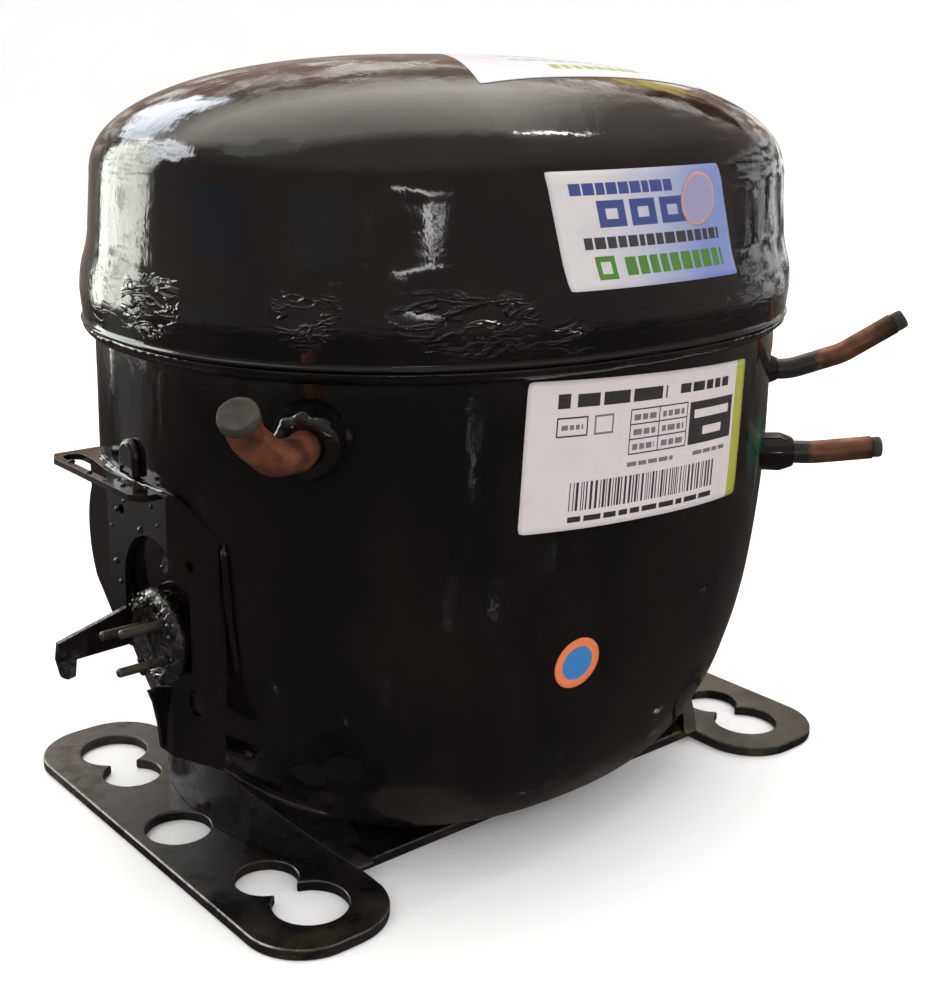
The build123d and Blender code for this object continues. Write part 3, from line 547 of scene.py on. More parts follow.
def scuffs(f, colour, gloss):
    """Grey streaks worn down the right end, and a green smear beside the rating label."""
    streak = f.noise(620, 3, (1, 1, 0.03))
    worn = f.times(f.span(f.along("X"), 0.034, 0.06), f.span(f.along("Y"), 0, -0.03),
                   f.span(f.along("Z"), 0.05, 0.085), f.span(f.facing("Z"), 0.75, 0.4),
                   f.span(streak, 0.5, 0.66), f.span(f.noise(42, 4), 0.47, 0.66))
    colour = f.mix(worn, colour, (0.07, 0.074, 0.07))
    smear = f.times(f.near(SMEAR, SMEAR_REACH), f.span(streak, 0.35, 0.55))
    colour = f.mix(f.calc("MULTIPLY", smear, 1.2, True), colour, (0.004, 0.075, 0.04))
    return colour, f.blend(worn, gloss, 0.3)


def wrinkles(f, under):
    """Folds where the enamel lies thick on the lap."""
    thick = 0.0
    for x, y, z, reach in WRINKLES:
        thick = f.calc("MAXIMUM", f.near((x, y, z), reach), thick)
    fold = f.noise(88, 3, (1, 1, 3.0), rough=0.45, warp=1.0)
    fold = f.calc("ABSOLUTE", f.calc("SUBTRACT", fold, 0.5))
    fold = f.span(fold, 0.0, 0.075, 1.0, 0.0)
    level = f.times(f.span(f.along("Z"), 0.1365, 0.139), f.span(f.along("Z"), 0.153, 0.150))
    return f.bump(f.times(fold, f.calc("ADD", thick, 0.015), level), 1.7, under)


def ledge_highlight(f, colour, gloss):
    """Painted highlight on top of the bracket's ledge: lighter grey broken up like scratches, with a rougher gloss
    there.
    """
    # Painted highlight: lighter grey laid on the up-facing top of the ledge, where light catches it.
    ledge_shine = f.times(f.near(LEDGE, LEDGE_REACH), f.span(f.facing("Z"), 0.6, 0.95),
                     f.span(f.noise(330, 5, (0.35, 1, 1), rough=0.7), 0.4, 0.6))
    return f.mix(ledge_shine, colour, (0.1, 0.095, 0.09)), f.blend(ledge_shine, gloss, 0.24)


def enamel(name, runs=1.0, shell=False, ledge=False):
    """Thick black enamel: uneven gloss, brown where thin, slow waves and fine peel."""
    f = Finish(name, ior=1.43)
    thin = f.noise(34, 4, (1, 1, 0.6))
    cloud = f.noise(110, 3, shift=(0.3, 0, 0))
    colour = f.mix(f.span(thin, 0.42, 0.66), (0.0024, 0.0024, 0.0025), (0.0062, 0.0042, 0.0034))
    gloss = f.span(cloud, 0.35, 0.7, 0.04, 0.13)
    dust = f.span(f.times(f.span(f.along("Z"), 0.045, 0.008), f.noise(60, 5)), 0.3, 0.8)
    colour = f.mix(dust, colour, (0.04, 0.034, 0.027))
    gloss = f.blend(dust, gloss, 0.5)
    waves = f.bump(f.noise(46, 2, (1, 1, 0.5)), 0.4 * runs)
    waves = f.bump(f.noise(210, 3, (1, 1, 0.6), warp=0.5), 0.075 * runs, waves)
    if shell:
        colour, gloss = scuffs(f, colour, gloss)
        waves = wrinkles(f, waves)
    # Painted highlight on the top of the bracket's ledge.
    if ledge:
        colour, gloss = ledge_highlight(f, colour, gloss)
    peel = f.bump(f.noise(420, 2), 0.02, waves)
    return f.done(colour, gloss, f.bump(f.noise(1400, 2), 0.003, peel))


def spattered(name):
    """Black paint full of hard drops."""
    f = Finish(name, ior=1.5)
    drop = f.noise(430, 3, rough=0.4)
    raised = f.span(drop, 0.5, 0.62)
    colour = f.mix(raised, (0.006, 0.0055, 0.0055), (0.016, 0.015, 0.014))
    lump = f.bump(f.noise(150, 2), 0.9)
    return f.done(colour, f.span(f.noise(200, 3), 0.35, 0.65, 0.06, 0.2), f.bump(raised, 0.3, lump))


def worn_and_highlit_plate(name, top):
    """Satin black over steel: worn to bare metal along its outer edge, with a painted highlight on the sloped
    edges and hole rims, brown dirt on its flats.
    """
    f = Finish(name)
    up, height = f.facing("Z"), f.along("Z")
    speck = f.noise(260, 5)
    dirt = f.span(f.noise(38, 5, rough=0.65), 0.46, 0.66)
    colour = f.mix(dirt, (0.0045, 0.0045, 0.0045), (0.02, 0.016, 0.012))
    yellow = f.times(f.span(f.noise(90, 4), 0.56, 0.7, 0, 0.6),
                     f.span(f.along("X"), 0, 0.08, 0.3, 1))
    colour = f.mix(yellow, colour, (0.07, 0.05, 0.018))
    outer = f.calc("ABSOLUTE", f.along("X"))
    # Light grey on the up-facing slopes of the edges: worn bare metal along the outer edge, and painted highlight
    # there and, fainter, on the hole rims.
    edge = f.times(f.span(up, 0.25, 0.5), f.span(up, 0.97, 0.85), f.span(speck, 0.36, 0.52),
                   f.span(height, top + 0.001, top), f.span(outer, 0.0985, 0.1005, 0.12, 1.0))
    colour = f.mix(edge, colour, (0.34, 0.33, 0.31))
    gloss = f.blend(dirt, f.span(speck, 0.3, 0.7, 0.16, 0.34), 0.6)
    gloss = f.blend(edge, gloss, 0.3)
    colour = f.mix(f.span(height, top + 0.001, top + 0.016, 0, 0.5), colour,
                   (0.008, 0.0078, 0.0075))
    dusty = f.times(f.near(DUSTY_END, DUSTY_REACH), f.span(speck, 0.3, 0.55))
    colour = f.mix(f.calc("MULTIPLY", dusty, 1.1, True), colour, (0.05, 0.044, 0.037))
    return f.done(colour, gloss, f.bump(speck, 0.05, f.bump(f.noise(120, 4), 0.12)))


def copper(name, bright, dull, black_until=None, dark_from=None):
    """Drawn copper, browned in patches, with enamel over its root and soot at its tip."""
    f = Finish(name, metallic=0.85)
    patch = f.span(f.noise(150, 4), 0.38, 0.64)
    colour = f.mix(patch, bright, dull)
    gloss = f.span(f.noise(420, 4), 0.3, 0.7, 0.34, 0.58)
    normal = f.bump(f.noise(900, 3), 0.02, f.bump(f.noise(160, 3), 0.06))
    if black_until is not None:
        reach = f.dot(LEAVING)
        start = CORNER.dot(LEAVING)
        ragged = f.calc("ADD", f.times(f.noise(300, 3), 0.006), start + black_until * MM - 0.003)
        painted = f.span(f.calc("SUBTRACT", ragged, reach), -0.0007, 0.0007)
        colour = f.mix(painted, colour, (0.012, 0.0105, 0.009))
        f.put(f.shader.inputs["Metallic"], f.blend(painted, 0.85, 0.0))
        gloss = f.blend(painted, gloss, 0.3)
        sooty = f.span(f.calc("ADD", reach, f.times(f.noise(200, 3), 0.006)),
                       start + dark_from * MM, start + (dark_from + 6) * MM, 0, 0.85)
        colour = f.mix(sooty, colour, (0.03, 0.026, 0.022))
        gloss = f.blend(sooty, gloss, 0.55)
    return f.done(colour, gloss, normal)


def metal(name, base, dark, roughness, grain=(1, 1, 1), scale=400, bump=0.01):
    """Machined, drawn or pressed metal with a directional grain and stained patches."""
    f = Finish(name, metallic=0.9)
    line = f.noise(scale, 3, grain)
    colour = f.mix(f.span(f.noise(70, 4), 0.42, 0.68), base, dark)
    colour = f.mix(f.span(line, 0.3, 0.8, 0, 0.35), colour, dark)
    low, high = roughness
    return f.done(colour, f.span(line, 0.3, 0.7, low, high), f.bump(line, bump))


def cast(name, base, dark):
    """Sand-cast iron with a pitted skin and oily darker patches."""
    f = Finish(name, metallic=0.6)
    pits = f.noise(700, 5, rough=0.7)
    colour = f.mix(f.span(f.noise(60, 4), 0.4, 0.65), base, dark)
    return f.done(colour, f.span(pits, 0.3, 0.7, 0.34, 0.62), f.bump(pits, 0.09))


def plastic(name, base, shade, roughness, texture=0.012, scale=900):
    """Moulded plastic or rubber with a fine texture and a little dirt."""
    f = Finish(name, ior=1.46)
    fine = f.noise(scale, 4)
    colour = f.mix(f.span(f.noise(95, 5), 0.42, 0.7), base, shade)
    low, high = roughness
    return f.done(colour, f.span(fine, 0.3, 0.7, low, high), f.bump(fine, texture))


def printed(name, base, other=None, axis_span=None):
    """Printed film: semi-gloss ink with light handling marks."""
    f = Finish(name)
    colour = base
    if other:
        low, high = axis_span
        drift = f.calc("ADD", f.along("X"), f.times(f.noise(40, 2), 0.014))
        colour = f.mix(f.span(drift, low, high), base, other)
    grime = f.span(f.noise(130, 5, rough=0.65), 0.56, 0.78, 0, 0.22)
    colour = f.mix(grime, colour, tuple(c * 0.55 for c in base))
    return f.done(colour, f.span(f.noise(240, 3), 0.3, 0.7, 0.28, 0.42), f.bump(f.noise(75, 3), 0.06))


def glass_seal():
    """Dark fused glass round a pin."""
    f = Finish("glass_seal", ior=1.5)
    swirl = f.noise(500, 4)
    colour = f.mix(swirl, (0.006, 0.009, 0.008), (0.02, 0.024, 0.02))
    return f.done(colour, f.span(swirl, 0, 1, 0.05, 0.2), f.bump(swirl, 0.03))


def laminations(name):
    """Stacked punched sheets, seen as fine level lines."""
    f = Finish(name, metallic=0.85)
    sheet = f.wave(620, warp=0.4)
    colour = f.mix(f.span(sheet, 0.2, 0.8), (0.1, 0.1, 0.11), (0.33, 0.33, 0.35))
    return f.done(colour, f.span(f.noise(300, 3), 0.3, 0.7, 0.32, 0.5), f.bump(sheet, 0.05))


def enamelled_wire():
    """Wound wire: round strands laid side by side, varnished."""
    f = Finish("enamelled_wire", metallic=0.55, coat=0.4, coat_roughness=0.15)
    strand = f.wave(330, (1, 1, 1.7), warp=1.2)
    colour = f.mix(f.span(strand, 0.1, 0.9), (0.1, 0.03, 0.012), (0.5, 0.19, 0.07))
    return f.done(colour, f.span(f.noise(200, 3), 0.3, 0.7, 0.25, 0.42), f.bump(strand, 0.25))


def woven_sleeve():
    """Braided sleeve on the leads."""
    f = Finish("woven_sleeve", ior=1.4)
    thread = f.noise(1600, 2)
    weave = f.times(f.wave(520, warp=0.5), thread)
    colour = f.mix(weave, (0.34, 0.3, 0.22), (0.66, 0.62, 0.52))
    return f.done(colour, f.span(thread, 0.2, 0.8, 0.6, 0.85), f.bump(weave, 0.12))


plate_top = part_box("base_plate")[1].z
BLACK = enamel("black_enamel", shell=True)
BLACK_TRIM = enamel("black_enamel_trim", runs=0.6)
finishes = {
    "black_enamel": BLACK_TRIM,
    "worn_black_paint": worn_and_highlit_plate("worn_black_paint", plate_top),
    "dark_paint": enamel("dark_paint", runs=0.4, ledge=True),
    "terminal_steel": spattered("terminal_steel"),
    "seal_glass": glass_seal(),
    "pin_steel": metal("pin_steel", (0.17, 0.155, 0.135), (0.06, 0.052, 0.044), (0.35, 0.55), scale=260,
                       bump=0.04),
    "dull_copper": copper("dull_copper", (0.23, 0.11, 0.07), (0.1, 0.055, 0.04), 15, 32),
    "bright_copper": copper("bright_copper", (0.37, 0.135, 0.08), (0.13, 0.055, 0.038)),
    "black_rubber": plastic("black_rubber", (0.018, 0.017, 0.016), (0.045, 0.04, 0.035), (0.5, 0.75), 0.08,
                            500),
    "grey_rubber": plastic("grey_rubber", (0.02, 0.016, 0.013), (0.05, 0.04, 0.032), (0.5, 0.75), 0.12,
                           420),
    "white_label": printed("white_label", (0.42, 0.385, 0.39)),
    "blue_sticker": printed("blue_sticker", (0.42, 0.4, 0.41), (0.13, 0.17, 0.36), (-0.014, 0.022)),
    "orange_sticker": printed("orange_sticker", (0.5, 0.13, 0.045)),
    "grey_iron": cast("grey_iron", (0.17, 0.17, 0.175), (0.07, 0.065, 0.06)),
    "ground_steel": metal("ground_steel", (0.55, 0.55, 0.56), (0.3, 0.3, 0.31), (0.12, 0.26),
                          (1, 1, 0.04), 900),
    "pressed_steel": metal("pressed_steel", (0.42, 0.42, 0.41), (0.24, 0.23, 0.21), (0.28, 0.48)),
    "dark_steel": metal("dark_steel", (0.1, 0.1, 0.105), (0.05, 0.05, 0.05), (0.28, 0.45)),
    "reed_steel": metal("reed_steel", (0.5, 0.51, 0.54), (0.28, 0.3, 0.36), (0.1, 0.2), (1, 0.05, 1), 900),
    "gasket_fibre": plastic("gasket_fibre", (0.11, 0.14, 0.125), (0.06, 0.075, 0.07), (0.6, 0.85), 0.05,
                            1500),
    "cast_aluminium": cast("cast_aluminium", (0.55, 0.56, 0.57), (0.32, 0.32, 0.32)),
    "lamination_steel": laminations("lamination_steel"),
    "enamelled_copper": enamelled_wire(),
    "nylon": plastic("nylon", (0.02, 0.02, 0.022), (0.05, 0.048, 0.045), (0.35, 0.5)),
    "spring_steel": metal("spring_steel", (0.36, 0.36, 0.37), (0.16, 0.15, 0.14), (0.2, 0.36), scale=600),
    "white_plastic": plastic("white_plastic", (0.62, 0.6, 0.54), (0.44, 0.4, 0.31), (0.3, 0.45)),
    "lead_sleeve": woven_sleeve(),
}
for row in frame["record"]["subparts"]:
    slots = frame["nodes"][row["node"]].data.materials
    slots.clear()
    slots.append(finishes[row["material_slot"]])


# ---- Shells, seam and stickers ----

def paint_runs():
    """Runs of thick paint under the seam, as (x, y, top, length, width, thickness)."""
    runs = []
    for _ in range(46):
        turn = random.uniform(0, 2 * math.pi)
        z = SKIRT_Z - random.uniform(2, 6) * MM
        half_x, half_y = outline(z, LOWER)
        across, deep = plan_point(turn)
        x, y = half_x * across, half_y * deep
        if -42 * MM < x < 44 * MM and y < 0:
            continue
        runs.append((x, y, z, random.uniform(5, 26) * MM, random.uniform(0.9, 1.8) * MM,
                     random.uniform(0.15, 0.38) * MM))
    return runs


def lower_shell():
    """The pot, with paint runs below its seam."""
    inside = [(z, half_x - WALL, half_y - WALL) for z, half_x, half_y in reversed(LOWER[::8])
              if z > FLOOR_Z + WALL]
    inside.append((FLOOR_Z + WALL, inside[-1][1] - 4 * MM, inside[-1][2] - 4 * MM))
    skin = shell_skin("lower_shell_skin", LOWER, inside, LOWER, BLACK, paint_runs())
    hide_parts("lower_shell")


def upper_shell():
    """The lid, with its lap and crown."""
    inner_lap = SHELL_X + LAP_OUT - WALL, SHELL_Y + LAP_OUT - WALL
    inside = [(SKIRT_Z, *inner_lap), (SKIRT_Z + 15 * MM, *inner_lap)]
    z = SKIRT_Z + 22 * MM
    while z < SHOULDER_Z:
        inside.append((z, *upper_wall(z, -WALL)))
        z += 5 * MM
    inside += crown_rings(16, WALL)
    skin = shell_skin("upper_shell_skin", UPPER[::-1], inside, UPPER, BLACK)
    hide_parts("upper_shell")


def weld_seam():
    """Bead that closes the skirt: even ripples sunk in paint."""
    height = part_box("weld_seam")[1].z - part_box("weld_seam")[0].z
    profile = [(0.0, 0.0), (0.1, 0.35), (0.35, 0.62), (0.6, 0.85), (0.85, 0.93), (1.0, 0.86),
               (1.0, 0.0)]
    points = []
    for share, out in profile:
        for j in range(AROUND * 2):
            t = math.pi * j / AROUND
            c, s = plan_point(t)
            ripple = 0.02 * math.cos(t * 170) + 0.3 * noise.noise(Vector((c, s, 0)) * 9)
            reach = 0.05 * MM + out * (LAP_OUT - 0.3 * MM) * (1 + (ripple if out else 0))
            points.append(Vector(((SHELL_X + reach) * c, (SHELL_Y + reach) * s,
                                  SKIRT_Z - 0.1 * MM - height * (1 - share))))
    faces = ring_faces(len(profile), AROUND * 2, True)
    seam = add_mesh("weld_bead", points, faces, [BLACK])
    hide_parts("weld_seam")


def text_lines(u0, u1, v, height, ink, words=(2.5, 7.0), gap=1.0):
    """A plain dashed bar that stands for a line of print."""
    marks = []
    u = u0
    while u < u1:
        length = min(random.uniform(*words), u1 - u)
        marks.append((u, u + length, v, v + height, ink))
        u += length + gap
    return marks


def rating_label():
    """White film with a yellow-green edge, a dark block, a ruled table and plain bars."""
    half_u, half_v = 39.2, 18.2
    dark, lime, grey = 1, 2, 3
    prints = [(34.2, 39.2, -18.2, 18.2, lime)]
    prints += [(-31, -27.5, 11.5, 15.0, dark)]
    prints += text_lines(-25.5, 4, 11.6, 3.2, dark, (6, 11), 1.2)
    prints += text_lines(9, 30, 12.2, 2.4, dark, (2, 5), 0.9)
    prints += [(13.5, 33.0, -1.5, 9.5, dark)]
    prints += [(15.5, 31.0, 5.2, 7.4, 0), (19.5, 28.0, 0.6, 2.8, 0)]
    for row in range(4):
        v = -1.5 + row * 3.66
        prints.append((-8.5, 12.5, v, v + 0.35, dark))
    for u in (-8.5, 1.6, 12.2):
        prints.append((u, u + 0.35, -1.5, 9.8, dark))
    for row in range(3):
        for u0, u1 in ((-7.2, 0.6), (3.0, 11.2)):
            prints += text_lines(u0, u1, -0.4 + row * 3.66, 1.5, grey, (1.4, 3), 0.6)
    prints += [(-31, -22, 4.6, 9.4, dark), (-30.6, -22.4, 5.0, 9.0, 0)]
    prints += text_lines(-29.6, -23.4, 6.3, 1.2, grey, (1, 2), 0.5)
    prints += [(-20, -14, 4.6, 9.4, grey), (-19.5, -14.5, 5.1, 8.9, 0)]
    for u0, u1 in ((-8.5, 8), (16, 31)):
        prints += text_lines(u0, u1, -4.4, 1.1, grey, (2, 4), 0.6)
    u = -26.0
    while u < 26.0:
        bar = random.choice((0.3, 0.45, 0.75))
        prints.append((u, u + bar, -13.6, -6.6, dark))
        u += bar + random.choice((0.35, 0.5, 0.8))
    prints += text_lines(-26, 26, -16.4, 1.4, dark, (1.6, 6), 0.9)
    inks = [finishes["white_label"], printed("label_black", (0.022, 0.018, 0.02)),
            printed("label_lime", (0.25, 0.26, 0.03)), printed("label_grey", (0.11, 0.1, 0.11))]
    label, _ = film("rating_label_film", "rating_label", 2,
                    lambda x, z: front_point(x, z, LOWER, FILM_LIFT), half_u, half_v, prints, inks)


def service_sticker():
    """Film that shades from white to blue, with plain bars in place of its print."""
    half_u, half_v = 28.8, 14.5
    navy, ink, green = 1, 2, 3
    prints = text_lines(-23.5, 9, 8.6, 2.9, navy, (2.2, 4.2), 0.5)
    prints += [(u, u + 8.4, 0.6, 7.2, navy) for u in (-16.5, -6.4, 3.7)]
    prints += [(u + 2.4, u + 6.0, 2.6, 5.2, 0) for u in (-16.5, -6.4, 3.7)]
    prints += text_lines(-22, 24, -4.6, 2.9, ink, (1.6, 3.6), 0.6)
    prints += text_lines(-11, 24, -11.6, 4.6, green, (2.4, 3.6), 0.8)
    prints += [(-19.8, -14.0, -12.2, -6.4, green), (-18.4, -15.4, -10.8, -7.8, 0)]
    inks = [finishes["blue_sticker"], printed("sticker_navy", (0.03, 0.045, 0.16)),
            printed("sticker_ink", (0.03, 0.03, 0.035)), printed("sticker_green", (0.05, 0.15, 0.02))]
    sticker, place = film("service_sticker_film", "service_sticker", 2,
                          lambda x, z: front_point(x, z, UPPER, FILM_LIFT), half_u, half_v, prints,
                          inks, rounding=0.6)
    middle = place(18.0, 6.0)
    disc_film("service_sticker_disc", lambda u, v: front_point(
        middle.x + u, middle.z + v, UPPER, DISC_LIFT), 6.4, 0.82,
        printed("sticker_rose", (0.34, 0.2, 0.2)), printed("sticker_pale", (0.2, 0.19, 0.3)))


def disc_film(name, place, radius, inner_share, rim, middle):
    """A round printed film with a rim of another colour."""
    around, steps = 72, 9
    points = [place(0.0, 0.0)]
    for step in range(1, steps + 1):
        reach = radius * MM * step / steps
        points += [place(reach * c, reach * s) for c, s in circle(around)]
    faces = disc_faces(steps, around)
    indices = [1 if (i // around) < steps * inner_share else 0 for i in range(len(faces))]
    disc = add_mesh(name, points, faces, [rim, middle], indices)
    thicken(disc, DISC_THICK)
    return disc


def round_sticker():
    """Two plain colours, with no picture."""
    low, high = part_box("round_sticker")
    centre_x, centre_z = (low.x + high.x) / 2, (low.z + high.z) / 2
    disc = disc_film("round_sticker_film", lambda u, v: front_point(
        centre_x + u, centre_z + v, LOWER, FILM_LIFT), 6.9, 0.6, finishes["orange_sticker"],
        printed("sticker_blue", (0.02, 0.13, 0.34)))
    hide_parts("round_sticker")


def crown_sticker():
    """White film on the front half of the crown."""
    green, ink = 1, 2
    prints = text_lines(-22, 22, -2.0, 4.2, ink, (3, 6), 1.4)
    prints += text_lines(-12, 22, -13.0, 5.4, green, (2.4, 4.4), 1.1)
    prints += text_lines(-22, 22, 8.0, 3.2, ink, (3, 8), 1.2)
    inks = [printed("crown_white", (0.52, 0.53, 0.58)), printed("crown_green", (0.2, 0.3, 0.08)),
            printed("crown_ink", (0.3, 0.32, 0.42))]
    sticker, _ = film("crown_sticker_film", "crown_sticker", 1,
                      lambda x, y: crown_point(x, y, FILM_LIFT), 40, 21, prints, inks,
                      rounding=0.6)


lower_shell()
upper_shell()
weld_seam()
rating_label()
service_sticker()
round_sticker()
crown_sticker()


# ---- Collars and caps ----

def tube_axis(node):
    """Direction of a tube's free end, from the joint of its cap."""
    joint = next(j for j in frame["joints"] if j["child"] == node)
    return Vector(joint["axis"]).normalized()


# Profiles of the collars and the terminal's rim, as (distance out, radius) in mm
SUCTION_COLLAR = [(-3.0, 3.46), (-3.0, 5.6), (0.2, 6.3), (0.7, 5.9), (1.2, 5.7), (5.9, 5.7),
                  (6.5, 5.6), (9.5, 4.55), (9.9, 4.3), (10.0, 3.9), (9.9, 3.46)]
DISCHARGE_COLLAR = [(-3.0, 3.06), (-3.0, 4.6), (0.3, 4.9), (1.2, 4.3), (2.4, 3.7), (3.4, 3.35),
                    (3.4, 3.06)]
PROCESS_COLLAR = [(-3.0, 4.06), (-3.0, 8.4), (0.2, 9.4), (0.8, 9.1), (1.5, 8.6), (2.4, 8.4),
                  (3.4, 8.5), (4.6, 8.1), (5.8, 7.9), (6.8, 7.5), (7.6, 6.7), (8.1, 5.6),
                  (8.0, 4.06)]


def collars():
    """Turned collars with paint gathered round them."""
    for tube, side, z, profile, rough, seed in (
            ("suction", 1, SUCTION_Z, SUCTION_COLLAR, 0.12, 3),
            ("discharge", 1, DISCHARGE_Z, DISCHARGE_COLLAR, 0.15, 5),
            ("process", -1, PROCESS_Z, PROCESS_COLLAR, 0.55, 8)):
        origin = Vector((side * CORNER.x, CORNER.y, z))
        axis = Vector((side * LEAVING.x, LEAVING.y, 0))
        piece = lathe(f"{tube}_collar_ring", origin, axis, profile, BLACK_TRIM, closed=True,
                      rough=rough, seed=seed, around=96)
        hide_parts(f"{tube}_collar")


def caps():
    """Heads and stems of the shipping plugs."""
    for name, radius, bore, head, finish, rough in (
            ("suction", 3.0, 1.9, 3.0, "black_rubber", 0.25),
            ("discharge", 2.7, 1.6, 3.5, "black_rubber", 0.25),
            ("process", 4.5, 3.0, 2.4, "grey_rubber", 0.2)):
        axis = tube_axis(f"{name}_cap")
        corners = [v.co for v in frame["nodes"][f"{name}_plug"].data.vertices]
        reach = max(c.dot(axis) for c in corners)
        far = [c for c in corners if c.dot(axis) > reach - 0.01 * MM]
        tip = sum(far, Vector()) / len(far)
        stem = (max(c.dot(axis) for c in corners) - min(c.dot(axis) for c in corners)) / MM
        profile = [(-stem, bore - 0.3), (-stem + 0.3, bore), (-head - 0.05, bore),
                   (-head, radius - 0.3), (-head + 0.3, radius), (-head * 0.5, radius * 1.01),
                   (-0.7, radius), (-0.25, radius - 0.2), (-0.05, radius - 0.6),
                   (-0.2, radius * 0.7), (-0.25, radius * 0.35)]
        piece = lathe(f"{name}_cap_head", tip, axis, profile, finishes[finish], body=f"{name}_cap",
                      rough=rough, seed=len(name))
        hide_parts(f"{name}_plug")


collars()
caps()


# ---- Bracket, base and small beads ----

def terminal_cup():
    """Domed rim of the terminal, under thick paint."""
    low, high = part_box("terminal_body")
    middle = Vector((low.x + 2.4 * MM, (low.y + high.y) / 2, (low.z + high.z) / 2))
    radius = (high.y - low.y) / 2 / MM
    cup = lathe("terminal_cup", middle, Vector((-1, 0, 0)), [
        (-7.4, radius - 1.1), (-0.4, radius - 1.1), (-0.4, radius + 0.1), (0.6, radius + 0.2),
        (1.5, radius - 0.3), (2.3, radius - 1.4), (2.6, radius - 2.4), (2.3, radius - 3.2),
        (1.2, radius - 3.7), (0.3, radius - 4.3), (0.0, radius - 6.0), (-0.1, 3.0)],
        finishes["terminal_steel"], rough=0.4, seed=21, around=80)
    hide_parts("terminal_body")


# Drops on the bracket's face as (y, z, radius) and on its ledge as (x, y), in mm
FACE_DROPS = [(9, 91, 0.7), (-3, 88.6, 0.9), (-12, 92, 0.6), (10, 77, 0.9), (8, 72, 0.7),
              (-13.5, 82, 0.6), (5, 94, 0.5), (-9, 96, 0.6), (12, 86, 0.5)]
LEDGE_DROPS = [(-103, 26), (-101, 4), (-102.5, -1), (-104, 14), (-98, 0), (-99, -6)]


def drop_places():
    """Hard drops of paint on the bracket, its ledge and the terminal: place, outward
    direction, radius in mm."""
    low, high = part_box("terminal_body")
    face_x = low.x + 1.6 * MM
    rim_x = face_x - 1.9 * MM
    ledge_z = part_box("terminal_bracket")[1].z
    centre = (Vector(low) + Vector(high)) / 2
    out, up = Vector((-1, 0, 0)), Vector((0, 0, 1))
    drops = [(Vector((face_x, y * MM, z * MM)), out, radius) for y, z, radius in FACE_DROPS]
    for x, y in LEDGE_DROPS:
        drops.append((Vector((x * MM, y * MM, ledge_z)), up, random.uniform(0.4, 0.9)))
    for turn in range(0, 360, 24):
        t = math.radians(turn + random.uniform(-8, 8))
        reach = random.uniform(9.2, 11.4) * MM
        place = Vector((rim_x, centre.y + reach * math.cos(t), centre.z + reach * math.sin(t)))
        drops.append((place, out, random.uniform(0.45, 0.95)))
    return drops


def paint_drops():
    """All the drops as one piece of flattened, stretched balls."""
    points, faces = [], []
    around, levels, flat = 12, 6, 0.75
    for place, out, radius in drop_places():
        turn = out.to_track_quat("Z", "Y")
        base = len(points)
        stretch = random.uniform(1.0, 1.5)
        for level in range(1, levels):
            up = math.pi * level / levels
            for c, s in circle(around):
                p = Vector((c * math.sin(up) * stretch, s * math.sin(up), math.cos(up) * flat))
                points.append(place + turn @ (p * radius * MM))
        last = len(points) - around
        points += [place + turn @ Vector((0, 0, end * radius * MM)) for end in (flat, -flat)]
        faces += [tuple(base + i for i in face) for face in ring_faces(levels - 1, around, False)]
        for j in range(around):
            k = (j + 1) % around
            faces.append((len(points) - 2, base + k, base + j))
            faces.append((len(points) - 1, last + j, last + k))
    drops = add_mesh("paint_drops", points, faces, [BLACK_TRIM])


def spring_coils():
    """The four springs, copied in place from the CAD frame."""
    coils = new_object("spring_coils", frame["nodes"]["suspension_springs"].data.copy())
    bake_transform(coils)
    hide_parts("suspension_springs")


terminal_cup()
paint_drops()
spring_coils()
soften("base_plate", 0.8, 3)
soften("shell_cradle", 0.6, 3, angle=40, planar=False)
soften("terminal_bracket", 0.45, 3)
soften("earth_boss", 0.3)


def beads():
    """Welds and paint gathered where the bracket and cradle meet the shell."""
    def end_at(y, z, out=0.6):
        half_x, half_y = outline(z, LOWER)
        return Vector((-plan_reach(y, half_y, half_x) - out * MM, y, z))

    bead("bracket_bead_front", [end_at(-31 * MM, z * MM) for z in (58, 66, 74, 82, 91)], 0.9 * MM,
         BLACK_TRIM, 2)
    bead("bracket_bead_top", [end_at(y * MM, 99.6 * MM, 0.2) for y in (-16, -6, 4, 14, 24, 31)],
         1.1 * MM, BLACK_TRIM, 4)
    bead("bracket_bead_leg", [end_at(y * MM, 33 * MM, 1.0) for y in (-28, -22, -16, -11)], 1.7 * MM,
         BLACK_TRIM, 6, 0.6)
    for side in (-1, 1):
        route = []
        for y in (-44, -30, -15, 0, 15, 30, 44):
            z = plate_top + (17.0 - 17.0 * (y / 50) ** 2) * MM
            route.append(Vector((-side * end_at(y * MM, z, 0.5).x, y * MM, z + 0.3 * MM)))
        bead(f"cradle_bead_{'left' if side < 0 else 'right'}", route, 1.0 * MM, BLACK_TRIM, 9, 0.5)


beads()


# ---- Stage, lights and camera ----

def stage():
    """A pale floor that rises into a round backdrop."""
    f = Finish("stage_paper", ior=1.3)
    paper = f.done(f.mix(f.noise(6, 3), (0.885, 0.9, 0.92), (0.91, 0.925, 0.945)), 0.9)
    around = 96
    profile = [(0.0, 0.0), (0.6, 0.0), (1.2, 0.0), (1.6, 0.0)]
    profile += [(1.6 + 0.6 * math.sin(t), 0.6 - 0.6 * math.cos(t))
                for t in (math.pi / 24 * i for i in range(1, 13))]
    profile += [(2.2, 1.2), (2.2, 2.2)]
    points = [Vector((0, 0, 0))]
    for radius, z in profile[1:]:
        points += [Vector((radius * c, radius * s, z)) for c, s in circle(around)]
    faces = disc_faces(len(profile) - 1, around)
    mesh = bpy.data.meshes.new("stage_floor")
    mesh.from_pydata(points, [], faces)
    mesh.materials.append(paper)
    mesh.polygons.foreach_set("use_smooth", [True] * len(mesh.polygons))
    floor = new_object("stage_floor", mesh)
    floor.visible_glossy = False


